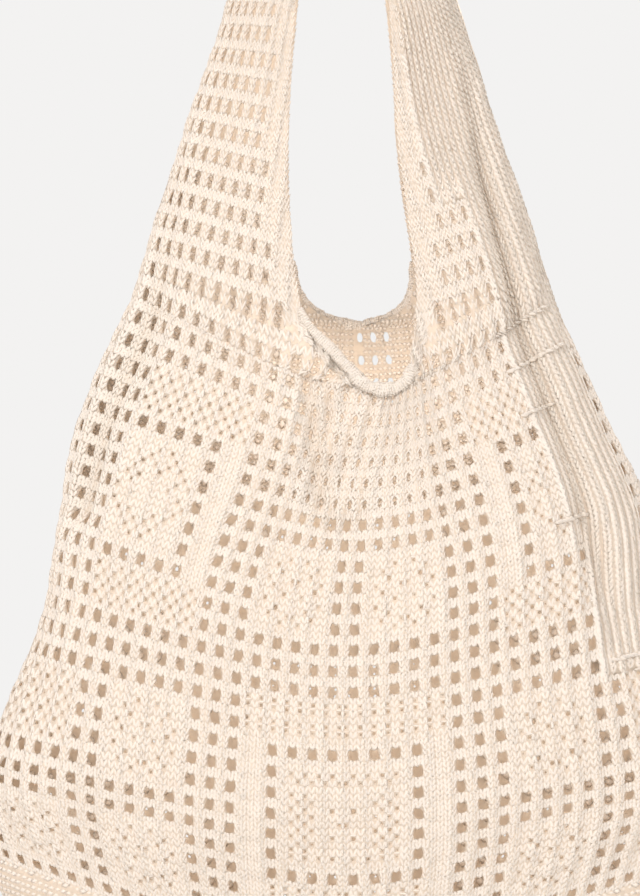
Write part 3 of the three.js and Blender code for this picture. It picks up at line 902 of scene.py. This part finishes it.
class Legs:
    """Places of stitch legs, gathered from several stretches of fabric."""

    # How much legs differ: lean in degrees, place across and along in millimetres, size, and tone
    LEAN_STRAY = 3
    ACROSS_STRAY, ALONG_STRAY = 0.1, 0.12
    SIZE_STRAY = 0.05
    TONE, TONE_STRAY = 0.5, 0.3
    # Least and greatest size of a wale and a course, in millimetres
    WALE_SIZES = (1.2, 4.2)
    COURSE_SIZES = (1.6, 4.6)
    # A leg that leans more than this lies along its course, and is wider and longer for it
    LYING_LEAN = 60
    LYING_WIDER, LYING_LONGER = 1.35, 1.5
    RAISED_HEIGHT = 1.6
    # Depth of a fold and height of a rib that give the yarn its full painted shade
    FULL_FOLD, FULL_RIB = 7, 5

    def __init__(self):
        self.points, self.turns, self.sizes = [], [], []
        self.tones, self.painted_shades = [], []

    def add(self, point, x, y, z, lean, size, shade):
        """Adds legs at these points, each a little astray; their sizes are in millimetres."""
        count = len(point)
        lean = np.radians(lean + rng.normal(0, self.LEAN_STRAY, count))[:, None]
        turned_x = x * np.cos(lean) + y * np.sin(lean)
        turned_y = y * np.cos(lean) - x * np.sin(lean)
        astray = x * rng.normal(0, self.ACROSS_STRAY, (count, 1))
        astray = astray + y * rng.normal(0, self.ALONG_STRAY, (count, 1))
        self.points.append(point + astray)
        self.turns.append(quaternions(turned_x, turned_y, z))
        self.sizes.append(size * rng.normal(1, self.SIZE_STRAY, (count, 1)))
        self.tones.append(np.clip(rng.normal(self.TONE, self.TONE_STRAY, count), 0, 1))
        self.painted_shades.append(np.broadcast_to(shade, count))

    def add_fabric(self, face, legs, from_edge=False, inside=False, raised=0.0):
        """Adds legs that are given by side, cell and row, on the outer or the inner side of a face."""
        side, cell, row, lean, width, length = legs.T
        fabric = FABRIC[face]
        place = cell + neck_cut(row) if from_edge else cell
        folds = fabric.folds(side, place, row)
        lift = CLOTH_LIFT - CLOTH_THICKNESS - raised if inside else STITCH_LIFT + raised + FOLD_LIFT * folds
        point, x, y, z, wide, tall = fabric.frames(side, cell, row, lift, from_edge)
        wale = np.clip(wide / WALES, *self.WALE_SIZES)
        course = np.clip(tall / COURSES, *self.COURSE_SIZES)
        lying = np.abs(lean) > self.LYING_LEAN
        breadth = np.where(lying, width * course * self.LYING_WIDER, width * wale)
        reach = np.where(lying, length * wale * self.LYING_LONGER, length * course)
        height = np.full(len(point), STITCH_HEIGHT + self.RAISED_HEIGHT * raised)
        size = np.stack([breadth, reach, height], axis=-1)
        # Painted shade: yarn in folds and in the valleys between ribs is darkened in its colour by this
        # much
        depth = folds / self.FULL_FOLD - fabric.ribs(side, place, row) / self.FULL_RIB
        if inside:
            x, z = -x, -z
        self.add(point, x, y, z, lean * side * fabric.outward, size, np.clip(depth, 0, 1))


def group_input(tree, name, kind, value=None):
    """Adds a named input to a tree."""
    socket = tree.interface.new_socket(name, in_out="INPUT", socket_type=kind)
    if value is not None:
        socket.default_value = value


def stitch_tree():
    """Geometry Nodes: one plump leg of yarn on every point, turned and sized by the point's attributes."""
    tree = bpy.data.node_groups.new("Knitted legs", "GeometryNodeTree")
    tree.interface.new_socket("Geometry", in_out="OUTPUT", socket_type="NodeSocketGeometry")
    group_input(tree, "Points", "NodeSocketGeometry")
    group_input(tree, "Sides", "NodeSocketInt", 3)
    group_input(tree, "Rings", "NodeSocketInt", 3)
    group_input(tree, "Yarn", "NodeSocketMaterial")
    nodes, links = tree.nodes, tree.links
    given = nodes.new("NodeGroupInput")
    made = nodes.new("NodeGroupOutput")

    ball = nodes.new("GeometryNodeMeshUVSphere")
    links.new(given.outputs["Sides"], ball.inputs["Segments"])
    links.new(given.outputs["Rings"], ball.inputs["Rings"])
    ball.inputs["Radius"].default_value = 0.5
    lay = nodes.new("GeometryNodeTransform")
    lay.inputs["Rotation"].default_value = (math.pi / 2, -math.pi / 2, 0)
    links.new(ball.outputs["Mesh"], lay.inputs["Geometry"])
    store = nodes.new("GeometryNodeStoreNamedAttribute")
    store.data_type = "FLOAT_VECTOR"
    store.domain = "POINT"
    store.inputs["Name"].default_value = "leg"
    where = nodes.new("GeometryNodeInputPosition")
    links.new(lay.outputs["Geometry"], store.inputs["Geometry"])
    links.new(where.outputs["Position"], store.inputs["Value"])
    smooth = nodes.new("GeometryNodeSetShadeSmooth")
    links.new(store.outputs["Geometry"], smooth.inputs["Geometry"])

    turn = nodes.new("GeometryNodeInputNamedAttribute")
    turn.data_type = "QUATERNION"
    turn.inputs["Name"].default_value = "turn"
    size = nodes.new("GeometryNodeInputNamedAttribute")
    size.data_type = "FLOAT_VECTOR"
    size.inputs["Name"].default_value = "size"

    cloud = nodes.new("GeometryNodeMeshToPoints")
    links.new(given.outputs["Points"], cloud.inputs["Mesh"])
    place = nodes.new("GeometryNodeInstanceOnPoints")
    links.new(cloud.outputs["Points"], place.inputs["Points"])
    links.new(smooth.outputs["Geometry"], place.inputs["Instance"])
    links.new(turn.outputs["Attribute"], place.inputs["Rotation"])
    links.new(size.outputs["Attribute"], place.inputs["Scale"])
    real = nodes.new("GeometryNodeRealizeInstances")
    links.new(place.outputs["Instances"], real.inputs["Geometry"])
    paint = nodes.new("GeometryNodeSetMaterial")
    links.new(real.outputs["Geometry"], paint.inputs["Geometry"])
    links.new(given.outputs["Yarn"], paint.inputs["Material"])
    links.new(paint.outputs["Geometry"], made.inputs["Geometry"])
    return tree


STITCH_TREE = stitch_tree()
# Sides and rings of a leg, and how wide and high its section is against the ball that it comes from
LEG_FORMS = {"full": (3, 3, 0.75, 0.65), "spare": (4, 2, 1.0, 1.0)}


def stitches(name, legs, material, form="full"):
    """A mesh of stitch legs, made by the stitch tree from the gathered places."""
    points = np.vstack(legs.points)
    piece = mesh_object(name, points, [])
    sides, rings, section_wide, section_high = LEG_FORMS[form]
    sizes = np.vstack(legs.sizes) * MM / np.array([section_wide, 1, section_high])
    data = piece.data.attributes
    data.new("turn", "QUATERNION", "POINT").data.foreach_set("value", np.vstack(legs.turns).ravel())
    data.new("size", "FLOAT_VECTOR", "POINT").data.foreach_set("vector", sizes.ravel())
    data.new("tone", "FLOAT", "POINT").data.foreach_set("value", np.concatenate(legs.tones))
    # Each leg's painted shade from folds and rib valleys
    data.new("shade", "FLOAT", "POINT").data.foreach_set("value", np.concatenate(legs.painted_shades))
    modifier = piece.modifiers.new("Stitches", "NODES")
    modifier.node_group = STITCH_TREE
    values = {"Sides": sides, "Rings": rings, "Yarn": material}
    for item in STITCH_TREE.interface.items_tree:
        if item.name in values:
            modifier[item.identifier] = values[item.name]
    apply_modifiers(piece)
    for spare in ("turn", "size"):
        if spare in piece.data.attributes:
            piece.data.attributes.remove(piece.data.attributes[spare])
    return piece


# Materials

class Value:
    """A shader socket with arithmetic."""

    def __init__(self, finish, socket):
        self.finish, self.socket = finish, socket

    def math(self, operation, a, b):
        return self.finish.node("ShaderNodeMath", {"operation": operation}, {0: a, 1: b})

    def __add__(self, other):
        return self.math("ADD", self, other)

    __radd__ = __add__

    def __mul__(self, other):
        return self.math("MULTIPLY", self, other)

    __rmul__ = __mul__

    def __sub__(self, other):
        return self.math("SUBTRACT", self, other)

    def __rsub__(self, other):
        return self.math("SUBTRACT", other, self)

    def clamped(self):
        return self.finish.node("ShaderNodeClamp", {}, {"Value": self})

    def wave(self):
        return self.math("SINE", self, 0.0)


class Finish:
    """A material under construction."""

    def __init__(self, name):
        self.material = bpy.data.materials.new(name)
        self.material.use_nodes = True
        self.tree = self.material.node_tree
        self.shader = next(n for n in self.tree.nodes if n.type == "BSDF_PRINCIPLED")
        self.output = next(n for n in self.tree.nodes if n.type == "OUTPUT_MATERIAL")

    def node(self, kind, settings, inputs, output=0):
        """A new node: its settings first, then the values or links of its sockets."""
        made = self.tree.nodes.new(kind)
        for name, value in settings.items():
            setattr(made, name, value)
        for name, value in inputs.items():
            self.feed(self.socket(made.inputs, name), value)
        return Value(self, self.socket(made.outputs, output))

    @staticmethod
    def socket(sockets, name):
        if isinstance(name, int):
            return sockets[name]
        return next(s for s in sockets if name in (s.identifier, s.name))

    def feed(self, socket, value):
        if isinstance(value, Value):
            self.tree.links.new(value.socket, socket)
        else:
            socket.default_value = value

    def attribute(self, name, output):
        return self.node("ShaderNodeAttribute", {"attribute_name": name}, {}, output)

    def object_place(self):
        return self.node("ShaderNodeTexCoord", {}, {}, "Object")

    def part(self, vector, axis):
        """One part of a vector: X, Y or Z."""
        return self.node("ShaderNodeSeparateXYZ", {}, {"Vector": vector}, axis)

    def noise(self, place, scale, detail=2.0):
        sockets = {"Vector": place, "Scale": scale, "Detail": detail}
        return self.node("ShaderNodeTexNoise", {}, sockets, "Fac")

    def mix(self, factor, a, b):
        sockets = {"Factor_Float": factor, "A_Color": a, "B_Color": b}
        return self.node("ShaderNodeMix", {"data_type": "RGBA"}, sockets, "Result_Color")

    def bump(self, height, strength, distance):
        sockets = {"Height": height, "Strength": strength, "Distance": distance}
        return self.node("ShaderNodeBump", {}, sockets, "Normal")

    def let_light_through(self, share, colour):
        """Thin yarn glows with the light behind it."""
        glow = self.node("ShaderNodeBsdfTranslucent", {}, {"Color": colour}, "BSDF")
        shader = Value(self, self.shader.outputs["BSDF"])
        mixed = self.node("ShaderNodeMixShader", {}, {0: share, 1: shader, 2: glow}, "Shader")
        self.feed(self.output.inputs["Surface"], mixed)

    def set(self, **sockets):
        """Sets or links the shader's own sockets."""
        for name, value in sockets.items():
            self.feed(self.shader.inputs[name.replace("_", " ")], value)


def linear(red, green, blue):
    """A colour given as it looks on screen, 0 to 255."""
    def channel(c):
        c = c / 255
        return c / 12.92 if c <= 0.04045 else ((c + 0.055) / 1.055) ** 2.4
    return (channel(red), channel(green), channel(blue), 1.0)


CREAM = linear(255, 247, 239)
CREAM_DEEP = linear(254, 244, 233)
# Painted shade: the yarn's colour low on each leg, between the legs, and in folds and rib valleys
YARN_PAINTED_SHADE = linear(252, 240, 225)
# Painted shade: the cloth under and between the stitches is a little darker than the yarn, in random
# patches between these two
CLOTH_PAINTED_SHADE = linear(253, 242, 229)
CLOTH_DEEP = linear(250, 237, 220)
# Scales to the metre of the patches, loops and fibres, and the twist of the plies along and across a leg
PATCH_SCALE = {"yarn": 45.0, "cloth": 60.0}
LOOP_SCALE = 520.0
FIBRE_SCALE = {"yarn": 2600.0, "cloth": 2400.0}
PLY_TWIST, PLY_SLANT = 26.0, 13.0
# How far below a leg's middle the painted shade between legs sets in, how fast, and how much folds and rib
# valleys deepen it
LEG_SHADE_LINE, LEG_SHADE_FALL = 0.22, 2.2
FOLD_SHADE = 0.6
LIGHT_THROUGH = {"yarn": 0.35, "cloth": 0.55}
SHEEN_ROUGHNESS = 0.6


def yarn_finish(name, light, deep, shade):
    """Soft cotton yarn: twisted plies, paler on top of each leg and in painted shade low on it, between the
    legs, and in folds and rib valleys.
    """
    finish = Finish(name)
    place = finish.object_place()
    leg = finish.attribute("leg", "Vector")
    across, along, rise = (finish.part(leg, axis) for axis in "XYZ")
    tone = finish.attribute("tone", "Fac")
    fold_shade = finish.attribute("shade", "Fac")
    patchy = finish.noise(place, PATCH_SCALE["yarn"])
    fibre = finish.noise(place, FIBRE_SCALE["yarn"], detail=3.0)
    plies = (along * PLY_TWIST + across * PLY_SLANT).wave()
    # Painted shade: the lower part of each leg, down where it meets the cloth, takes the shade colour
    top = ((rise + LEG_SHADE_LINE) * LEG_SHADE_FALL).clamped()
    colour = finish.mix((tone * 0.55 + patchy * 0.45).clamped(), deep, light)
    colour = finish.mix(top, shade, colour)
    # Painted shade in folds and in the valleys between ribs, read from each leg's shade attribute
    colour = finish.mix(fold_shade * FOLD_SHADE, colour, shade)
    finish.set(Base_Color=colour, Roughness=0.92, Specular_IOR_Level=0.15)
    finish.let_light_through(LIGHT_THROUGH["yarn"], CREAM)
    finish.set(Sheen_Weight=0.25, Sheen_Roughness=SHEEN_ROUGHNESS, Sheen_Tint=CREAM)
    finish.set(Normal=finish.bump(plies * 0.35 + fibre * 0.8, strength=0.25, distance=0.5 * MM))
    return finish.material


def cloth_finish(name, light, deep):
    """The inner side of the knit and the yarn deep between the stitches, a little darker than the yarn as
    painted shade, in random patches.
    """
    finish = Finish(name)
    place = finish.object_place()
    patchy = finish.noise(place, PATCH_SCALE["cloth"])
    loops = finish.noise(place, LOOP_SCALE)
    fibre = finish.noise(place, FIBRE_SCALE["cloth"])
    colour = finish.mix((patchy * 0.5 + loops * 0.6 - 0.05).clamped(), deep, light)
    finish.set(Base_Color=colour, Roughness=0.95, Specular_IOR_Level=0.1)
    finish.let_light_through(LIGHT_THROUGH["cloth"], CREAM_DEEP)
    finish.set(Sheen_Weight=0.2, Sheen_Roughness=SHEEN_ROUGHNESS, Sheen_Tint=CREAM)
    finish.set(Normal=finish.bump(loops * 1.2 + fibre * 0.5, strength=0.6, distance=0.8 * MM))
    return finish.material


YARN = yarn_finish("Cream cotton yarn", CREAM, CREAM_DEEP, YARN_PAINTED_SHADE)
CLOTH = cloth_finish("Inner side of the knit", CLOTH_PAINTED_SHADE, CLOTH_DEEP)


# Pieces

def finished(piece, slot, *nodes):
    """Lets a piece ride with the bag and hides the solids that it stands for; the slot for its finish is
    not used.
    """
    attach(piece, "root")
    if nodes:
        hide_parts(*nodes)
    return piece


def make_panel(face):
    """A panel's cloth and its stitches, with the welts in front and the purl bumps inside the back."""
    cells = cells_in(range(PANEL_ROWS), face)
    body = finished(cloth(face + "_panel_cloth", cells, CLOTH), "panel_knit", face + "_panel")
    sewn = []
    form = "full" if face == "front" else "spare"
    for side, word in ((-1, "left"), (1, "right")):
        legs = Legs()
        legs.add_fabric(face, legs_on([c for c in cells if c[1] == side]))
        if face == "front" and side > 0:
            legs.add_fabric(face, welt_legs(), raised=WELT_RISE)
        piece = stitches(f"{face}_panel_stitches_{word}", legs, YARN, form)
        sewn.append(finished(piece, "panel_knit"))
    if face == "back":
        legs = Legs()
        legs.add_fabric(face, purl_legs(cells), inside=True, raised=PURL_RISE)
        sewn.append(finished(stitches("back_panel_inner_stitches", legs, YARN, "spare"), "panel_knit"))
    return body, sewn


def make_strap(side, word):
    """Half of the strap loop: cloth folded along its outer side, and the stitches of both faces."""
    rows = range(PANEL_ROWS, ALL_ROWS)
    cells = {face: cells_in(rows, face, (side,)) for face in FABRIC}
    node = word + "_strap"
    body = finished(cloth(node + "_cloth", cells["front"] + cells["back"], CLOTH), "strap_knit", node)
    sewn = []
    for face in FABRIC:
        legs = Legs()
        legs.add_fabric(face, legs_on(cells[face]))
        legs.add_fabric(face, border_legs(side), from_edge=True)
        if face == "back":
            legs.add_fabric(face, purl_legs(cells[face]), inside=True, raised=PURL_RISE)
        form = "full" if face == "front" else "spare"
        sewn.append(finished(stitches(f"{node}_stitches_{face}", legs, YARN, form), "strap_knit"))
    return body, sewn


# The base: points across and along its cloth, the first row of bumps, rows between them, and a bump's
# lean, width and length
BASE_ACROSS, BASE_ALONG = 109, 16
FIRST_RIDGE = -0.1
RIDGE_ROWS = 0.34
RIDGE_LEG = (LYING, 0.85, 1.0)


def make_base():
    """The ridged base: a trough of plain cloth with rows of purl bumps along it."""
    share = np.linspace(-1, 1, BASE_ACROSS)
    rows = np.linspace(0, -BASE_ROWS, BASE_ALONG)
    width = side_cells(0)
    points, faces = [], []
    for face, fabric in FABRIC.items():
        start = len(points) * len(share)
        for row in rows:
            points.append(fabric.at(np.sign(share), np.abs(share) * width, row, CLOTH_LIFT))
        for j in range(len(rows) - 1):
            for i in range(len(share) - 1):
                a = start + j * len(share) + i
                quad = (a, a + len(share), a + len(share) + 1, a + 1)
                faces.append(quad if face == "front" else tuple(reversed(quad)))
    all_rows = np.tile(np.repeat(rows, len(share)), len(FABRIC))
    body = mesh_object("base_cloth", np.vstack(points), faces, all_rows)
    clean(body)
    thicken(body, CLOTH)
    finished(body, "base_knit", "base")
    legs = Legs()
    for face in FABRIC:
        bumps = []
        for j, row in enumerate(np.arange(FIRST_RIDGE, -BASE_ROWS, -RIDGE_ROWS)):
            for cell in np.arange(0.5 * (j % 2), WALES * width) / WALES:
                bumps += [(side, cell, row, *RIDGE_LEG) for side in (-1, 1)]
        legs.add_fabric(face, np.array(bumps))
    return body, [finished(stitches("base_ridges", legs, YARN, "spare"), "base_knit")]


# The rolled rims: greatest radius and the share of it along the edge, width of a wale along the edge, how
# flat the roll is, degrees from course to course round it, sides and stations of its surface
RIM_RADIUS = {"front": 3.6, "back": 3.4}
RIM_SWELL = {"run": [0, 0.08, 0.3, 0.65, 0.85, 0.95, 1], "share": [0.45, 0.65, 0.8, 1, 1, 0.8, 0.4]}
RIM_WALE = 2.6
RIM_FLATNESS = 0.6
RIM_COURSE = 30
RIM_SIDES = 20
RIM_STATIONS = 140
# Points along the edge on its left and right half, how deep the roll sits on the fabric, its slow and quick
# unevenness, the depth of its cloth under the stitches and of the valleys between wales, and a leg's length
LEFT_POINTS, RIGHT_POINTS = 80, 60
RIM_SEAT = 1.2
RIM_SLOW, RIM_QUICK = 0.12, 0.07
RIM_CLOTH = 0.5
RIM_VALLEY = 0.15
RIM_LEG_LONG = 1.7
# Rows to which each rim climbs on the left and on the right
RIM_ENDS = {"front": (28.7, 27.75), "back": (28.9, 28.9)}


class Roll:
    """The path of a rolled edge, read by its length."""

    def __init__(self, face):
        fabric = FABRIC[face]
        left_row, right_row = RIM_ENDS[face]
        left = np.linspace(left_row, PANEL_ROWS, LEFT_POINTS)
        right = np.linspace(PANEL_ROWS, right_row, RIGHT_POINTS)[1:]
        rows = np.concatenate([left, right])
        side = np.concatenate([np.full(len(left), -1.0), np.full(len(right), 1.0)])
        share = np.zeros(len(rows))
        edge = fabric.read(fabric.points, share, rows)
        normal = fabric.read(fabric.normals, share, rows)
        x = side * edge[:, 0] + sideways_pull(fabric.outward, side, edge[:, 2], share)
        edge = np.stack([x, edge[:, 1], edge[:, 2]], axis=-1)
        normal = unit(np.stack([side * normal[:, 0], normal[:, 1], normal[:, 2]], axis=-1))
        self.run = np.concatenate([[0], np.cumsum(np.linalg.norm(np.diff(edge, axis=0), axis=1))])
        swell = np.interp(self.run / self.run[-1], RIM_SWELL["run"], RIM_SWELL["share"])
        self.radius = RIM_RADIUS[face] * swell
        self.centre = edge + normal * (RIM_FLATNESS * self.radius - RIM_SEAT)[:, None]
        self.way = unit(np.gradient(self.centre, axis=0))
        self.sideways = unit(np.cross(self.way, normal))
        self.normal = unit(np.cross(self.sideways, self.way))

    def at(self, run, turn):
        """Centre, step to the surface, outward direction, way along the edge and radius on the roll."""
        def along(values):
            return np.stack([np.interp(run, self.run, axis) for axis in values.T], axis=-1)
        rise, reach = np.cos(turn)[:, None], np.sin(turn)[:, None]
        step = along(self.normal) * RIM_FLATNESS * rise + along(self.sideways) * reach
        outward = unit(along(self.normal) * rise + along(self.sideways) * RIM_FLATNESS * reach)
        slow = RIM_SLOW * np.sin(0.31 * run + 1.2 * np.sin(0.11 * run))
        quick = RIM_QUICK * np.sin(0.9 * run + 2 * turn)
        radius = np.interp(run, self.run, self.radius) * (1 + slow + quick)
        return along(self.centre), step, outward, unit(along(self.way)), radius


def make_rim(face):
    """The neckline's edge rolled outwards, with wales running round the roll."""
    roll = Roll(face)
    stations = np.linspace(0, roll.run[-1], RIM_STATIONS)
    turns = np.linspace(0, 2 * math.pi, RIM_SIDES, endpoint=False)
    run, turn = [grid.ravel() for grid in np.meshgrid(stations, turns, indexing="ij")]
    centre, step, _, _, radius = roll.at(run, turn)
    valley = RIM_VALLEY * np.cos(2 * math.pi * run / RIM_WALE) - RIM_CLOTH
    points = centre + step * (radius + valley)[:, None]
    faces = []
    for i in range(len(stations) - 1):
        for k in range(RIM_SIDES):
            a, b = i * RIM_SIDES + k, i * RIM_SIDES + (k + 1) % RIM_SIDES
            faces.append((a, b, b + RIM_SIDES, a + RIM_SIDES))
    last = (len(stations) - 1) * RIM_SIDES
    faces.append(tuple(reversed(range(RIM_SIDES))))
    faces.append(tuple(last + k for k in range(RIM_SIDES)))
    body = mesh_object(face + "_rim_roll", points, faces)
    clean(body)
    body.data.materials.append(CLOTH)
    finished(body, "rim_knit", face + "_rim")

    wales = np.arange(RIM_WALE / 2, roll.run[-1], RIM_WALE)
    courses = np.radians(np.arange(0, 360, RIM_COURSE))
    hand = np.array([-1.0, 1.0])
    wale, turn, hand = [grid.ravel() for grid in np.meshgrid(wales, courses, hand, indexing="ij")]
    centre, step, outward, way, radius = roll.at(wale + hand * LEG_OFF * RIM_WALE, turn)
    round_roll = unit(np.cross(outward, way))
    reach = RIM_LEG_LONG * radius * math.radians(RIM_COURSE)
    breadth, height = np.full(len(wale), LEG_WIDE * RIM_WALE), np.full(len(wale), STITCH_HEIGHT)
    size = np.stack([breadth, reach, height], axis=-1)
    legs = Legs()
    surface = centre + step * (radius - RIM_CLOTH)[:, None]
    legs.add(surface, way, round_roll, outward, -LEG_LEAN * hand, size, 0.0)
    return body, [finished(stitches(face + "_rim_stitches", legs, YARN), "rim_knit")]


front_panel, front_stitches = make_panel("front")
back_panel, back_stitches = make_panel("back")
left_strap, left_stitches = make_strap(-1, "left")
right_strap, right_stitches = make_strap(1, "right")
base, base_ridges = make_base()
front_rim, front_rim_stitches = make_rim("front")
back_rim, back_rim_stitches = make_rim("back")

# The stitches of the front and of the back, each with its rolled rim and the rim's stitches
front_trim = front_stitches + [front_rim] + front_rim_stitches
back_trim = back_stitches + [back_rim] + back_rim_stitches


# Stage: a pale floor below, pale surroundings and soft light

# The view: size of a pixel, the middle and the height of the frame, and the camera's distance
PIXEL = 0.53 * MM
FRAME_CENTRE = Vector((-11.7 * MM, 0, -312.4 * MM))
FRAME_HEIGHT = 896 * PIXEL
VIEW_DISTANCE = 2.6
SENSOR_HEIGHT = 36.0
FLOOR_HEIGHT = -1.1
FLOOR_REACH = 6.0
# Soft lights: name, place, what they are aimed at, size and power
DAYLIGHT = (1.0, 0.985, 0.97)
SOFT_LIGHTS = [
    ("key", (-1.4, -1.8, 1.0), (0, 0, -0.25), 1.2, 33.5),
    ("fill", (1.2, -1.8, 1.0), (0, 0, -0.2), 1.4, 16.0),
    ("behind", (1.0, 2.0, 0.9), (0, 0, -0.25), 1.3, 22.0),
]


def make_floor():
    mesh = bpy.data.meshes.new("floor")
    corners = [(-1, -1), (1, -1), (1, 1), (-1, 1)]
    points = [(x * FLOOR_REACH, y * FLOOR_REACH, FLOOR_HEIGHT) for x, y in corners]
    mesh.from_pydata(points, [], [(0, 1, 2, 3)])
    floor = bpy.data.objects.new("floor", mesh)
    bpy.context.collection.objects.link(floor)
    finish = Finish("Pale floor")
    finish.set(Base_Color=linear(240, 239, 237), Roughness=0.9)
    mesh.materials.append(finish.material)


def soft_light(name, place, aim, size, power, colour):
    data = bpy.data.lights.new(name, "AREA")
    data.shape = "DISK"
    data.size = size
    data.energy = power
    data.color = colour
    lamp = bpy.data.objects.new(name, data)
    lamp.location = place
    lamp.rotation_euler = (Vector(aim) - Vector(place)).to_track_quat("-Z", "Y").to_euler()
    bpy.context.collection.objects.link(lamp)
    return lamp


# Light that the thin knit lets through: where, its middle, width, height, lean in degrees and power
WARM_LIGHT = (1.0, 0.97, 0.92)
INNER_LIGHT = [
    ("bag", (0.004, 0, -0.44), 0.32, 0.20, 0, 0.075),
    ("neck", (0.008, 0, -0.29), 0.10, 0.06, 0, 0.03),
    ("left strap", (-0.056, 0, -0.16), 0.03, 0.22, 10, 0.014),
    ("right strap", (0.062, 0, -0.16), 0.03, 0.22, -10, 0.014),
]


def light_inside():
    """Fills the inside of the bag and of the straps, towards the front and towards the back."""
    for where, place, wide, tall, lean, power in INNER_LIGHT:
        for way, word in ((-1, "front"), (1, "back")):
            aim = Vector(place) + Vector((0, way, 0))
            lamp = soft_light(f"light in the {where}, {word}", place, aim, wide, power, WARM_LIGHT)
            lamp.data.shape = "RECTANGLE"
            lamp.data.size_y = tall
            lamp.rotation_euler.rotate(Euler((0, math.radians(lean), 0)))
            lamp.visible_camera = False


def make_surroundings():
    world = bpy.data.worlds.new("Pale studio")
    bpy.context.scene.world = world
    world.use_nodes = True
    sky = world.node_tree.nodes["Background"]
    sky.inputs["Color"].default_value = linear(243, 242, 241)
    sky.inputs["Strength"].default_value = 1.0
    bpy.context.scene.view_settings.view_transform = "Standard"


def make_camera():
    data = bpy.data.cameras.new("camera")
    data.sensor_fit = "VERTICAL"
    data.sensor_height = SENSOR_HEIGHT
    data.lens = VIEW_DISTANCE * data.sensor_height / FRAME_HEIGHT
    camera = bpy.data.objects.new("camera", data)
    camera.location = FRAME_CENTRE + Vector((0, -VIEW_DISTANCE, 0))
    camera.rotation_euler = (math.pi / 2, 0, 0)
    bpy.context.collection.objects.link(camera)
    bpy.context.scene.camera = camera


make_floor()
make_surroundings()
for light in SOFT_LIGHTS:
    soft_light(*light, DAYLIGHT)
light_inside()
make_camera()
